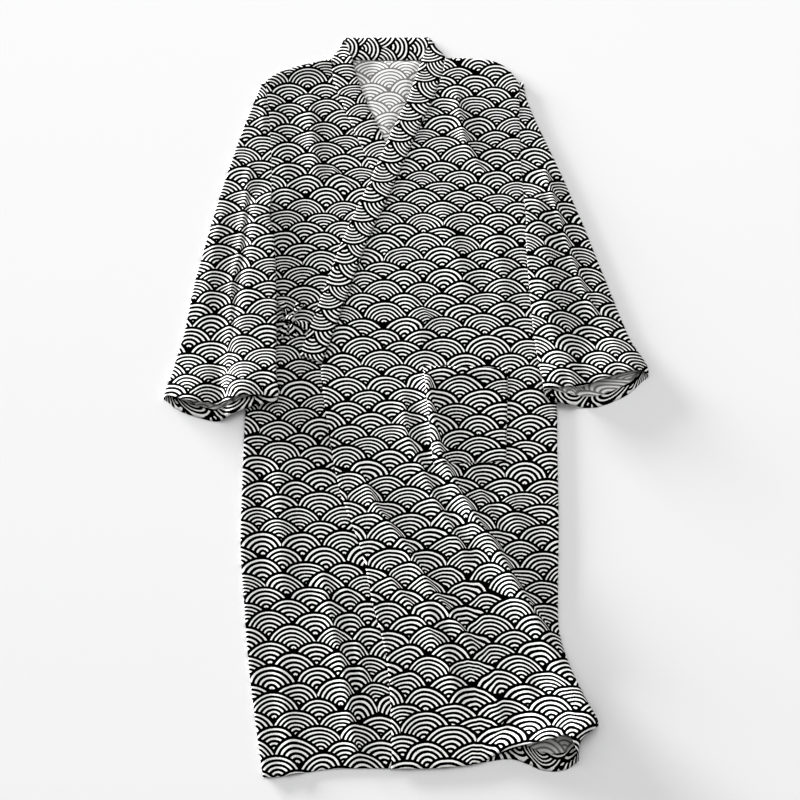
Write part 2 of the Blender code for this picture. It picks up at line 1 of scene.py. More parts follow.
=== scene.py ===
# %% [markdown]
# A cotton yukata robe, laid out flat
# -----------------------------------
# The robe is made of cut pieces: a back, two fronts, two sleeves, a collar band, a pocket and a
# side tie. Each one gets its own thin sheet of cloth here, set over the plain solid that carries
# its weight. The solids are loaded first.

import math
from collections import namedtuple

import bmesh
import bpy
import numpy as np
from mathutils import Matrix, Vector


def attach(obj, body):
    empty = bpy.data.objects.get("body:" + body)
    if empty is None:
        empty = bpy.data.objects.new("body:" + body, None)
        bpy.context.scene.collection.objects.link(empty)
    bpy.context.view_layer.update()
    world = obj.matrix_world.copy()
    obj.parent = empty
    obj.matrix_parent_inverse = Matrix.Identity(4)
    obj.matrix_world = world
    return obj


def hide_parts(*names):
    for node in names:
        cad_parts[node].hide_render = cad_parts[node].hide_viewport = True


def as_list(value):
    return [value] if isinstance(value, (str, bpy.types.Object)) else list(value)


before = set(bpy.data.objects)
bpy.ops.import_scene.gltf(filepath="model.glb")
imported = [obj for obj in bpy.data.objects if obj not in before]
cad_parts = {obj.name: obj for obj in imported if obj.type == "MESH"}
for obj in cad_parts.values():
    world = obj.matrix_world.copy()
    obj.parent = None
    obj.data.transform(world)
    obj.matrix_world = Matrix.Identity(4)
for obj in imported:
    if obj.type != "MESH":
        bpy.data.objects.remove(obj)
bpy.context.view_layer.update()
print("solid pieces:", len(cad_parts))

# %% [markdown]
# Sizes are easiest to think about in millimetres, as on a sewing pattern, and Blender works in
# metres. One constant turns the one into the other. The pattern's zero is a point in the neck,
# so a second constant moves every point to the middle of the robe, where the solids are.

# %% Units, and soft steps between two values
MM = 0.001
CENTRE = np.array([10.7, -2.1, 0.0])


def mix(a, b, share):
    return a + (b - a) * share


def ease(low, high, at):
    """Go from 0 at low to 1 at high along a soft S, for a whole array at once."""
    t = np.clip((np.asarray(at, float) - low) / (high - low), 0.0, 1.0)
    return t * t * (3 - 2 * t)


def cosine(degrees):
    return np.cos(np.radians(degrees))


def sine(degrees):
    return np.sin(np.radians(degrees))


print("centre of the robe on the pattern:", CENTRE[:2])

# %% [markdown]
# A garment's outline is a soft line, so a few measured points are enough if a smooth curve runs
# through them. This reads such a curve at many places at once. A spline object could do the
# same, but a function can be read inside the formulas that place each point of the cloth.


# %% A smooth line through a few measured points
def smooth_line(rows, at):
    keys = np.array([row[0] for row in rows], float)
    values = np.array([row[1] for row in rows], float)
    lean = np.empty_like(values)
    lean[1:-1] = (values[2:] - values[:-2]) / (keys[2:] - keys[:-2])
    lean[0] = (values[1] - values[0]) / (keys[1] - keys[0])
    lean[-1] = (values[-1] - values[-2]) / (keys[-1] - keys[-2])
    at = np.clip(np.asarray(at, float), keys[0], keys[-1])
    low = np.clip(np.searchsorted(keys, at, side="right") - 1, 0, len(keys) - 2)
    span = keys[low + 1] - keys[low]
    t = (at - keys[low]) / span
    return ((2 * t**3 - 3 * t**2 + 1) * values[low] + (t**3 - 2 * t**2 + t) * lean[low] * span
            + (3 * t**2 - 2 * t**3) * values[low + 1] + (t**3 - t**2) * lean[low + 1] * span)


print("halfway between 0 and 10:", float(smooth_line([(0, 0), (1, 10)], 0.5)))

# %% [markdown]
# These are the robe's outlines as it lies. Sides run from the hem upwards, and rims run from the
# wearer's right (-X) to the left (+X). The right front lies on the back, and the left front lies
# over both. The back shares both shoulder tips with the fronts, and is lower in between, where
# the neck is.

# %% Outlines of the body
Edge = namedtuple("Edge", "y x")
Rim = namedtuple("Rim", "x y")
Level = namedtuple("Level", "y size")

RIGHT_SIDE = (
    Edge(-651, -202), Edge(-575, -215), Edge(-483, -229), Edge(-383, -240), Edge(-300, -248),
    Edge(-242, -249.5), Edge(-67, -249), Edge(0, -246), Edge(100, -236), Edge(200, -226),
    Edge(300, -220), Edge(367, -220), Edge(440, -224), Edge(500, -230), Edge(556, -237),
)
LEFT_SIDE = (
    Edge(-628, 263), Edge(-606, 266), Edge(-590, 276), Edge(-578, 294), Edge(-566, 293),
    Edge(-540, 280), Edge(-483, 256), Edge(-433, 243), Edge(-375, 243), Edge(-258, 248.5),
    Edge(-133, 251), Edge(-58, 253), Edge(0, 250), Edge(100, 238), Edge(200, 223),
    Edge(300, 212), Edge(400, 208), Edge(450, 207.5), Edge(500, 208.5), Edge(560, 211),
)
SIDE_ROUND = 2.2
LEFT_SIDE_ROUND = (
    Level(-628, 14), Level(-600, 15), Level(-570, 13), Level(-530, 8), Level(-480, 4),
    Level(-430, SIDE_ROUND), Level(600, SIDE_ROUND),
)
RIGHT_SHOULDER = (
    Rim(-237, 553), Rim(-228, 563), Rim(-215, 572), Rim(-200, 579), Rim(-180, 586),
    Rim(-150, 594), Rim(-121, 600), Rim(-80, 601),
)
LEFT_SHOULDER = (
    Rim(60, 602.5), Rim(80, 602.5), Rim(120, 602), Rim(154, 599), Rim(176, 591), Rim(192, 578),
    Rim(203, 561), Rim(211, 546),
)
BACK_TOP = (
    *RIGHT_SHOULDER[:6], Rim(-118, 597.5), Rim(-20, 597.5), Rim(78, 597.5), Rim(120, 599),
    Rim(154, 598), *LEFT_SHOULDER[4:],
)
RIGHT_HEM = (
    Rim(-202, -651), Rim(-175, -649), Rim(-150, -645), Rim(-100, -638), Rim(-8, -637),
    Rim(90, -635),
)
LEFT_HEM = (
    Rim(-20, -638), Rim(30, -638), Rim(83, -635), Rim(120, -629), Rim(146, -616),
    Rim(168, -609), Rim(192, -604), Rim(225, -598), Rim(245, -593), Rim(254, -600),
    Rim(264, -628),
)
BACK_HEM = (
    Rim(-202, -648), Rim(-150, -641), Rim(-100, -634), Rim(83, -631), Rim(125, -628),
    Rim(150, -624), Rim(170, -624), Rim(190, -631), Rim(212, -640), Rim(242, -640),
    Rim(264, -628),
)
OVERLAP_EDGE = (
    Edge(-638, -13), Edge(-605, -12), Edge(-479, -20), Edge(-385, -43), Edge(-302, -61),
    Edge(-207, -95), Edge(-98, -116), Edge(-2, -129), Edge(12, -127),
)
UNDERLAP_EDGE = (
    Edge(-638, 78), Edge(-400, 82), Edge(-200, 84), Edge(0, 84), Edge(20, 84),
)
for y in (500, 0, -500):
    width = float(smooth_line(LEFT_SIDE, y) - smooth_line(RIGHT_SIDE, y))
    print(f"body width at y {y}: {width:.0f} mm")

# %% [markdown]
# The collar band is one long strip, folded double. It starts at its cut end on the left front,
# runs up to the shoulder, round the back of the neck and down on the right front, where the left
# front hides it. Each station gives a point on its seam, a point on its free folded edge and the
# height at which it lies.

# %% The collar band's course
Station = namedtuple("Station", "seam_x seam_y free_x free_y level")

COLLAR = (
    Station(-127, 14, -164, 27, 3.9), Station(-118, 42, -156, 52, 3.9),
    Station(-87, 137, -125, 149, 3.9), Station(-54, 239, -92, 252, 3.9),
    Station(-17, 328, -55, 343, 3.9), Station(20, 425, -18, 440, 3.9),
    Station(37, 466, -1, 481, 3.9), Station(53, 503, 14, 517, 3.6),
    Station(67, 543, 26, 556, 3.0), Station(77, 580, 36, 589, 2.2),
    Station(80, 604, 39, 599.5, 1.5), Station(67, 623, 40, 600, 1.0),
    Station(53, 645, 39, 600, 0.6), Station(42, 646, 36, 600, 0.4),
    Station(20, 646.5, 18, 600, 0.4), Station(-25, 646.5, -22, 600, 0.4),
    Station(-70, 646, -66, 600, 0.4), Station(-92, 646, -81, 600, 0.4),
    Station(-99, 643, -84, 600, 0.6), Station(-109, 621, -85, 600, 1.0),
    Station(-120.5, 602, -85, 599.5, 1.4), Station(-120.5, 581, -82, 586, 1.5),
    Station(-115, 549, -76, 562, 1.5), Station(-98, 500, -60, 513, 1.5),
    Station(-78, 451, -40, 465, 1.5), Station(-67, 424, -29, 438, 1.5),
    Station(-28, 328, 10, 343, 1.5), Station(12, 239, 50, 252, 1.5),
    Station(47, 136, 85, 149, 1.5), Station(85, 20, 122, 32, 1.5),
)
OVER_STATIONS = 10
UNDER_START = 20
OVER_SEAM = sorted((station.seam_y, station.seam_x) for station in COLLAR[:OVER_STATIONS + 1])
UNDER_SEAM = sorted((station.seam_y, station.seam_x) for station in COLLAR[UNDER_START:])
OVER_FREE = sorted((station.free_y, station.free_x) for station in COLLAR[:OVER_STATIONS + 1])
UNDER_FREE = sorted((station.free_y, station.free_x) for station in COLLAR[UNDER_START:])


def left_front_edge(y):
    """x of the left front's free edge: along its band, then down the overlap."""
    return np.where(y < OVER_SEAM[0][0], smooth_line(OVERLAP_EDGE, y), smooth_line(OVER_SEAM, y))


def right_front_edge(y):
    return np.where(y < UNDER_SEAM[0][0], smooth_line(UNDERLAP_EDGE, y),
                    smooth_line(UNDER_SEAM, y))


print("stations along the band:", len(COLLAR))

# %% [markdown]
# Cloth that is laid out by hand never lies quite flat. It keeps soft ridges where it was folded
# and sharp creases where it slid over itself. Each one is a bent line with a width, a height and
# a steep side. On that side the cloth turns down and away, so a little of the print vanishes:
# that is what makes a crease visible on a busy print, more than its shadow. A cloth simulation
# would put creases where it likes, so these are given one by one.

# %% Ridges and creases as bent lines
STEEP_WIDTH = 0.55
TURN_PLACE = 0.45
TURN_WIDTH = 0.5
SWALLOW_REACH = 105.0
Crease = namedtuple("Crease", "line width height swallow start_fade end_fade")


def beside(line, x, y):
    """How far each place lies beside a bent line, to its left positive, and how far along it."""
    nearest = np.full(np.shape(x), 1e9)
    aside = np.zeros(np.shape(x))
    along = np.zeros(np.shape(x))
    done = 0.0
    last = len(line) - 2
    for part, ((x0, y0), (x1, y1)) in enumerate(zip(line[:-1], line[1:])):
        run = math.hypot(x1 - x0, y1 - y0)
        dx, dy = (x1 - x0) / run, (y1 - y0) / run
        forward = (x - x0) * dx + (y - y0) * dy
        held = np.clip(forward, -np.inf if part == 0 else 0, np.inf if part == last else run)
        off = np.hypot(x - x0 - held * dx, y - y0 - held * dy)
        side = (y - y0) * dx - (x - x0) * dy
        closer = off < nearest
        nearest = np.where(closer, off, nearest)
        aside = np.where(closer, np.sign(side) * off, aside)
        along = np.where(closer, done + forward, along)
        done += run
    return aside, along, done


def crease_fade(crease, along, total):
    fade = ease(0, crease.start_fade, along) if crease.start_fade else 1.0
    return fade * (ease(0, crease.end_fade, total - along) if crease.end_fade else 1.0)


def relief(creases, x, y):
    """Height of all ridges and creases: gentle on the right of each line, steep on its left."""
    height = np.zeros(np.shape(x))
    for crease in creases:
        aside, along, total = beside(crease.line, x, y)
        steep = STEEP_WIDTH if crease.swallow else 1.0
        width = np.where(aside > 0, crease.width * steep, crease.width)
        height += crease.height * crease_fade(crease, along, total) * np.exp(-(aside / width)**2)
    return height


def swallowed(creases, x, y):
    """How much the print is shifted, in x and y, where creases have swallowed some cloth."""
    shift_x = np.zeros(np.shape(x))
    shift_y = np.zeros(np.shape(x))
    for crease in creases:
        if not crease.swallow:
            continue
        aside, along, total = beside(crease.line, x, y)
        (x0, y0), (x1, y1) = crease.line[0], crease.line[-1]
        run = math.hypot(x1 - x0, y1 - y0)
        step = np.tanh((aside - TURN_PLACE * crease.width) / (TURN_WIDTH * crease.width))
        step *= crease.swallow / 2 * np.exp(-np.abs(aside) / SWALLOW_REACH)
        step *= crease_fade(crease, along, total)
        shift_x -= step * (y1 - y0) / run
        shift_y += step * (x1 - x0) / run
    return shift_x, shift_y


trial = Crease(((0, 0), (0, -100)), 10, 5, 8, 0, 0)
print("height on and 10 mm beside a trial crease:",
      relief([trial], np.array([0.0, -10.0]), np.array([-50.0, -50.0])).round(2))

# %% [markdown]
# The print is drawn on the cloth before it is cut, so it must bend with the cloth. Each piece
# therefore carries a map of cloth coordinates, in metres. They follow the real length of the
# cloth over every ridge and round every fold, measured outwards from one column and one row.
# An automatic unwrap would tear the print at its islands, so the map is laid here.


# %% Lay the print on a grid of points
def lay_print(points, print_x, print_y, column, row, way=1):
    """Cloth coordinates of a grid (rows, columns, 3) from the print's own x and y.

    The print keeps its x on the given column and its y on the given row. way is -1 where its x
    falls along the columns.
    """
    across = np.diff(points, axis=1)
    longer = np.linalg.norm(across, axis=2) - np.hypot(across[..., 0], across[..., 1])
    extra = np.concatenate([np.zeros((len(points), 1)), np.cumsum(longer, axis=1)], axis=1)
    u = print_x + way * (extra - extra[:, column:column + 1])
    down = np.diff(points, axis=0)
    longer = np.linalg.norm(down, axis=2) - np.hypot(down[..., 0], down[..., 1])
    extra = np.concatenate([np.zeros((1, points.shape[1])), np.cumsum(longer, axis=0)], axis=0)
    v = print_y - extra + extra[row:row + 1]
    return np.stack([u, v], axis=2)


tent = np.array([[(0, y, 0), (3, y, 4), (6, y, 0)] for y in (10, 0)], float)
tent_map = lay_print(tent, tent[..., 0], tent[..., 1], 0, 0)
print("cloth on a tent 6 mm wide and 4 mm high:", np.ptp(tent_map[..., 0]), "mm")

# %% [markdown]
# A raw edge frays, so cuffs and hems are turned in and stitched down. Here the last rows of a
# piece are copied back on its inner side. The turned-in strip shows the printed side of the
# cloth again, upside down, wherever one looks into a cuff.

# %% Turn in a hem
CLOTH = 0.5
TURN_GAP = 0.9
TURN_REACH = 0.12


def outward(points, sign):
    """Unit normals of a grid, pointing to the printed side."""
    normal = np.cross(np.gradient(points, axis=1), np.gradient(points, axis=0)) * sign
    return normal / np.maximum(np.linalg.norm(normal, axis=2, keepdims=True), 1e-9)


def turn_hem(points, cloth_map, sign, rows_back):
    """Add a rim and the turned-in rows to a grid and to its cloth coordinates."""
    inner = -outward(points, sign)
    rim = points[-1:] + (points[-1:] - points[-2:-1]) * TURN_REACH + inner[-1:] * TURN_GAP / 2
    back = (points + inner * TURN_GAP)[-2:-2 - rows_back:-1]
    map_back = (2 * cloth_map[-1:] - cloth_map)[-2:-2 - rows_back:-1]
    map_rim = mix(cloth_map[-1:], map_back[:1], 0.5)
    return np.concatenate([points, rim, back]), np.concatenate([cloth_map, map_rim, map_back])


print("rows of the tent with 1 row turned in:", len(turn_hem(tent, tent_map, 1, 1)[0]))

# %% [markdown]
# Every piece starts as a plain grid. Its points are then moved to their places, and the Solidify
# modifier gives the sheet its wall and a second material on the wrong side of the cloth. The
# grid keeps all faces four-sided and even, which takes a print better than a sculpted mesh.


# %% Make one piece of cloth from a grid of places
def add_object(name, data):
    """Put a mesh, a lamp or a camera into the scene."""
    thing = bpy.data.objects.new(name, data)
    bpy.context.scene.collection.objects.link(thing)
    return thing


def make_cloth(name, points, cloth_map, sign, materials, wall=CLOTH):
    rows, columns = points.shape[:2]
    grid = bmesh.new()
    bmesh.ops.create_grid(grid, x_segments=columns - 1, y_segments=rows - 1, size=0.5)
    mesh = bpy.data.meshes.new(name)
    grid.to_mesh(mesh)
    grid.free()
    place = np.empty(rows * columns * 3)
    mesh.vertices.foreach_get("co", place)
    place = place.reshape(-1, 3)
    column = np.rint((place[:, 0] + 0.5) * (columns - 1)).astype(int)
    row = np.rint((place[:, 1] + 0.5) * (rows - 1)).astype(int)
    mesh.vertices.foreach_set("co", ((points[row, column] - CENTRE) * MM).ravel())
    corners = np.empty(len(mesh.loops), int)
    mesh.loops.foreach_get("vertex_index", corners)
    layer = mesh.uv_layers.new(name="Cloth")
    layer.uv.foreach_set("vector", (cloth_map[row, column][corners] * MM).ravel())
    if sign < 0:
        mesh.flip_normals()
    mesh.shade_smooth()
    for material in materials:
        mesh.materials.append(material)
    piece = add_object(name, mesh)
    solidify = piece.modifiers.new("Wall", "SOLIDIFY")
    solidify.thickness = wall * MM
    solidify.offset = 0.0
    solidify.material_offset = len(materials) - 1
    solidify.material_offset_rim = 0
    print(f"{name}: {rows} x {columns} points")
    return piece


print("the cloth is", CLOTH, "mm thick")

# %% [markdown]
# The print is seigaiha, the old pattern of overlapping waves. Every fan is a disc of white rings
# on black, and each row of fans covers the lower half of the row behind it. A picture of it would
# blur close up and repeat, so it is worked out by nodes: for each spot they find the fan in front
# and the distance to its nearest ring. A small node group is easiest to write as sums, so a
# helper turns sums into Math nodes.


# %% A helper that writes sums as nodes
class Sums:
    """Adds Math nodes to a node group; numbers and sockets can be mixed freely."""

    def __init__(self, tree):
        self.tree = tree

    def do(self, operation, *values):
        node = self.tree.nodes.new("ShaderNodeMath")
        node.operation = operation
        for socket, value in zip(node.inputs, values):
            if isinstance(value, (int, float)):
                socket.default_value = float(value)
            else:
                self.tree.links.new(value, socket)
        return node.outputs[0]

    def pick(self, test, if_one, if_zero):
        """if_one where test is 1, if_zero where it is 0."""
        return self.do("MULTIPLY_ADD", test, self.do("SUBTRACT", if_one, if_zero), if_zero)

    def group(self, group, **values):
        node = self.tree.nodes.new("ShaderNodeGroup")
        node.node_tree = group
        for name, value in values.items():
            if isinstance(value, (int, float)):
                node.inputs[name].default_value = value
            else:
                self.tree.links.new(value, node.inputs[name])
        return node.outputs


def new_group(name, inputs, outputs):
    tree = bpy.data.node_groups.new(name, "ShaderNodeTree")
    for label in inputs:
        tree.interface.new_socket(label, in_out="INPUT", socket_type="NodeSocketFloat")
    for label in outputs:
        tree.interface.new_socket(label, in_out="OUTPUT", socket_type="NodeSocketFloat")
    given = tree.nodes.new("NodeGroupInput").outputs
    result = tree.nodes.new("NodeGroupOutput").inputs
    return tree, Sums(tree), given, result


print("node groups so far:", len(bpy.data.node_groups))

# %% [markdown]
# One fan first. Fans stand 65 mm apart in a row, every second row is shifted by half of that, and
# rows are 21 mm apart. No two fans are alike on a hand-drawn print, so each one is moved, widened
# and stretched a little by numbers that belong to its place in the grid. The group gives two
# distances: to the fan's rim, and to the nearest white ring, below zero inside it.

# %% One fan of rings
FAN_PITCH = 65.5
ROW_PITCH = 21.3
FAN_ASIDE = 5.0
FAN_UP = 4.5
FAN_RADIUS = 37.2
FAN_RADIUS_SPREAD = 5.5
FAN_HEIGHT = 0.97
FAN_HEIGHT_SPREAD = 0.14
FAN_RIM = 2.6
DOT = 4.4
RING_PITCH = 6.8
RING_WHITE = 0.49
FOOT_ANGLE = 69.0
FOOT_DROP = 0.9
FOOT_SOFTNESS = 1.6


def fan_group():
    tree, sums, given, result = new_group("One fan", ("U", "V", "Row", "Side"), ("Rim", "Ring"))
    do = sums.do
    half = do("MULTIPLY", do("FLOORED_MODULO", given["Row"], 2.0), 0.5)
    cell = do("ADD", do("FLOOR", do("SUBTRACT", do("DIVIDE", given["U"], FAN_PITCH), half)),
              given["Side"])
    seed = tree.nodes.new("ShaderNodeCombineXYZ")
    tree.links.new(cell, seed.inputs[0])
    tree.links.new(given["Row"], seed.inputs[1])
    chance = tree.nodes.new("ShaderNodeTexWhiteNoise")
    chance.noise_dimensions = "3D"
    tree.links.new(seed.outputs[0], chance.inputs["Vector"])
    parts = tree.nodes.new("ShaderNodeSeparateXYZ")
    tree.links.new(chance.outputs["Color"], parts.inputs[0])
    around = [do("SUBTRACT", part, 0.5) for part in parts.outputs]
    middle_u = do("MULTIPLY_ADD", around[1], FAN_ASIDE,
                  do("MULTIPLY", do("ADD", cell, half), FAN_PITCH))
    middle_v = do("MULTIPLY_ADD", around[0], FAN_UP, do("MULTIPLY", given["Row"], ROW_PITCH))
    right = do("SUBTRACT", given["U"], middle_u)
    up = do("DIVIDE", do("SUBTRACT", given["V"], middle_v),
            do("MULTIPLY_ADD", around[0], FAN_HEIGHT_SPREAD, FAN_HEIGHT))
    radius = do("MULTIPLY_ADD", around[2], FAN_RADIUS_SPREAD, FAN_RADIUS)
    out = do("SQRT", do("MULTIPLY_ADD", right, right, do("MULTIPLY", up, up)))
    room = do("SUBTRACT", radius, FAN_RIM + DOT)
    rings = do("ROUND", do("DIVIDE", room, RING_PITCH))
    pitch = do("DIVIDE", room, rings)
    white = do("MULTIPLY", pitch, RING_WHITE / 2)
    inwards = do("SUBTRACT", do("SUBTRACT", radius, FAN_RIM), out)
    wave = do("FLOORED_MODULO", do("MULTIPLY_ADD", pitch, 0.5, do("SUBTRACT", inwards, white)),
              pitch)
    ring = do("SUBTRACT", do("ABSOLUTE", do("MULTIPLY_ADD", pitch, -0.5, wave)), white)
    tree.links.new(do("SUBTRACT", out, radius), result["Rim"])
    ring = do("MAXIMUM", ring, do("MULTIPLY", inwards, -1.0))
    foot = do("SUBTRACT", do("MULTIPLY", do("ABSOLUTE", right), cosine(FOOT_ANGLE)),
              do("MULTIPLY", do("ADD", up, FOOT_DROP), sine(FOOT_ANGLE)))
    tree.links.new(do("SMOOTH_MAX", ring, foot, FOOT_SOFTNESS), result["Ring"])
    return tree


one_fan = fan_group()
print("nodes in one fan:", len(one_fan.nodes))

# %% [markdown]
# A spot can lie in three rows of fans, and in each row between two neighbours. The nearer
# neighbour wins inside a row. Then the rows are laid one over the other, the lowest in front, and
# a thin black margin is kept round each fan in front. A soft maximum joins ring and margin, which
# rounds the rings' ends as a brush would.

# %% Rows of fans, and the whole print
MARGIN = 1.3
SOFT_END = 1.6
NEIGHBOUR_GAP = 1.0
NEIGHBOUR_SOFTNESS = 0.8
FAR_FROM_RINGS = 5.0


def row_group():
    tree, sums, given, result = new_group("One row", ("U", "V", "Row"), ("Rim", "Ring"))
    do = sums.do
    near, far = (sums.group(one_fan, U=given["U"], V=given["V"], Row=given["Row"], Side=side)
                 for side in (0.0, 1.0))
    first = do("LESS_THAN", near["Rim"], far["Rim"])
    apart = do("ABSOLUTE", do("SUBTRACT", near["Rim"], far["Rim"]))
    ring = do("SMOOTH_MAX", sums.pick(first, near["Ring"], far["Ring"]),
              do("SUBTRACT", NEIGHBOUR_GAP, apart), NEIGHBOUR_SOFTNESS)
    tree.links.new(do("MINIMUM", near["Rim"], far["Rim"]), result["Rim"])
    tree.links.new(ring, result["Ring"])
    return tree


def print_group():
    """The distance to the nearest white ring of the print, below zero inside it."""
    tree, sums, given, result = new_group("Wave print", ("U", "V"), ("Ring",))
    do = sums.do
    base = do("FLOOR", do("DIVIDE", given["V"], ROW_PITCH))
    ring = FAR_FROM_RINGS
    for step in (1.0, 0.0, -1.0):
        row = sums.group(one_row, U=given["U"], V=given["V"], Row=do("ADD", base, step))
        inside = do("LESS_THAN", row["Rim"], 0.0)
        margin = do("SMOOTH_MAX", ring, do("SUBTRACT", MARGIN, row["Rim"]), SOFT_END)
        ring = sums.pick(inside, row["Ring"], margin)
    tree.links.new(ring, result["Ring"])
    return tree


one_row = row_group()
wave_print = print_group()
print("node groups:", [group.name for group in bpy.data.node_groups])

# %% [markdown]
# The cotton itself is a plain weave, about 20 threads to the centimetre. The threads are raised
# with a Bump node, and a slow noise makes the dye a little uneven, as on washed cotton. The right
# side carries the full print. On the wrong side the ink only shows through, so its lines are
# thinner and grey on white.

# %% The two sides of the cotton
THREAD = 0.5
THREAD_DEPTH = 0.05
THREAD_STRENGTH = 0.25
Wander = namedtuple("Wander", "scale amount")
WANDERS = (Wander(0.014, 8.0), Wander(0.35, 0.7))
WASHED = 0.93
WASHED_SCALE = 0.03


def soft_noise(tree, place, scale, detail):
    noise = tree.nodes.new("ShaderNodeTexNoise")
    noise.noise_dimensions = "2D"
    noise.inputs["Scale"].default_value = scale
    noise.inputs["Detail"].default_value = float(detail)
    tree.links.new(place, noise.inputs["Vector"])
    return noise


def cloth_place(tree):
    """Cloth coordinates in millimetres, wandering a little as a hand-drawn line does."""
    sums = Sums(tree)
    cloth = tree.nodes.new("ShaderNodeUVMap")
    cloth.uv_map = "Cloth"
    scaled = tree.nodes.new("ShaderNodeVectorMath")
    scaled.operation = "SCALE"
    scaled.inputs["Scale"].default_value = 1 / MM
    tree.links.new(cloth.outputs[0], scaled.inputs[0])
    plain = tree.nodes.new("ShaderNodeSeparateXYZ")
    tree.links.new(scaled.outputs[0], plain.inputs[0])
    u, v = plain.outputs[0], plain.outputs[1]
    for wander in WANDERS:
        noise = soft_noise(tree, scaled.outputs[0], wander.scale, detail=1)
        parts = tree.nodes.new("ShaderNodeSeparateXYZ")
        tree.links.new(noise.outputs["Color"], parts.inputs[0])
        aside, up = (sums.do("SUBTRACT", part, 0.5) for part in parts.outputs[:2])
        u = sums.do("MULTIPLY_ADD", aside, wander.amount, u)
        v = sums.do("MULTIPLY_ADD", up, wander.amount, v)
    return sums, scaled.outputs[0], plain.outputs, u, v


def cotton(name, dark, pale, threshold, softness):
    """Cotton with the wave print: pale rings as far as threshold mm out, on a dark ground."""
    material = bpy.data.materials.new(name)
    material.use_nodes = True
    tree = material.node_tree
    shader = tree.nodes["Principled BSDF"]
    sums, cloth, plain, u, v = cloth_place(tree)
    do = sums.do
    ring = sums.group(wave_print, U=u, V=v)["Ring"]
    edge = tree.nodes.new("ShaderNodeMapRange")
    edge.interpolation_type = "SMOOTHSTEP"
    edge.inputs["From Min"].default_value = threshold - softness
    edge.inputs["From Max"].default_value = threshold + softness
    tree.links.new(ring, edge.inputs["Value"])
    fade = soft_noise(tree, cloth, WASHED_SCALE, detail=4)
    pale_now = tree.nodes.new("ShaderNodeMix")
    pale_now.data_type = "RGBA"
    pale_now.inputs["A"].default_value = (*[WASHED * c for c in pale], 1)
    pale_now.inputs["B"].default_value = (*pale, 1)
    tree.links.new(fade.outputs[0], pale_now.inputs["Factor"])
    color = tree.nodes.new("ShaderNodeMix")
    color.data_type = "RGBA"
    tree.links.new(edge.outputs[0], color.inputs["Factor"])
    tree.links.new(pale_now.outputs["Result"], color.inputs["A"])
    color.inputs["B"].default_value = (*dark, 1)
    tree.links.new(color.outputs["Result"], shader.inputs["Base Color"])
    turn = 2 * math.pi / THREAD
    warp = do("SINE", do("MULTIPLY", plain[0], turn))
    weft = do("SINE", do("MULTIPLY", plain[1], turn))
    bump = tree.nodes.new("ShaderNodeBump")
    bump.inputs["Strength"].default_value = THREAD_STRENGTH
    bump.inputs["Distance"].default_value = THREAD_DEPTH * MM
    tree.links.new(do("MULTIPLY", warp, weft), bump.inputs["Height"])
    tree.links.new(bump.outputs[0], shader.inputs["Normal"])
    shader.inputs["Roughness"].default_value = 0.88
    shader.inputs["Specular IOR Level"].default_value = 0.12
    shader.inputs["Sheen Weight"].default_value = 0.06
    shader.inputs["Sheen Roughness"].default_value = 0.5
    return material


INK = (0.004, 0.004, 0.0045)
WHITE = (0.87, 0.87, 0.86)
INK_THROUGH = (0.31, 0.305, 0.30)
WHITE_THROUGH = (0.91, 0.905, 0.90)
printed = cotton("Cotton print", INK, WHITE, threshold=0.0, softness=0.35)
wrong_side = cotton("Cotton wrong side", INK_THROUGH, WHITE_THROUGH, threshold=0.40, softness=0.85)
both_sides = (printed, wrong_side)
print("materials:", [material.name for material in bpy.data.materials if material.use_nodes])

# %% [markdown]
# The body's three panels are placed by one formula. A share from 0 to 1 runs across between the
# sides, and another runs down from the shoulder to the hem. Round a side and over the shoulder
# the share stops and an angle takes over, so the folded edge is truly round. A box folded with a
# bevel would give the same section, but not an edge that opens towards the hem's corner. Inside
# the neck the back swells up nearly to the band, except for a small hollow in one corner, where
# the shade stays.

# %% Place a panel of the body
BACK_LEVEL = 0.3
UNDER_LEVEL = 2.0
OVER_LEVEL = 4.4
SEAM_HALF = 0.05
SHOULDER_SEAM = 1.5
SIDE_SOFTNESS = 32.0
OPEN_SOFTNESS = 8.0
ARMHOLE_END = 300.0
ARMHOLE_BLEND = 26.0
ARC = (0, 22, 45, 68)
NECK_TOP = 600.0
NECK_COVER = 14.0
NECK_RAMP = 10.0
NECK_UNDER_BAND = 0.8
NECK_INSIDE = 1.5
NECK_HOLLOW = (-62.0, 582.0)
NECK_HOLLOW_SIZE = 24.0
FIT_ROUNDS = 40
FIT_STEP = 0.4


def left_round(y):
    return smooth_line(LEFT_SIDE_ROUND, y)


def edge_height(radius):
    return BACK_LEVEL + 2 * radius


def body_grid(across, down, low_arc, high_arc):
    """Shares and angles of a panel's rows and columns; an angle of 90 is no arc at all.

    The low arc is at the panel's -X side, and the high arc at its +X side.
    """
    shares = np.linspace(0, 1, across)
    low = np.full(across, 90.0)
    if low_arc:
        shares = np.concatenate([np.zeros(len(ARC)), shares])
        low = np.concatenate([ARC, low])
    high = np.full(len(shares), 90.0)
    if high_arc:
        shares = np.concatenate([shares, np.ones(len(ARC))])
        low = np.concatenate([low, np.full(len(ARC), 90.0)])
        high = np.concatenate([high, ARC[::-1]])
    top = np.concatenate([ARC, np.full(down, 90.0)])
    drop = np.concatenate([np.zeros(len(ARC)), np.linspace(0, 1, down)])
    return shares, low, high, top[:, None], drop[:, None]


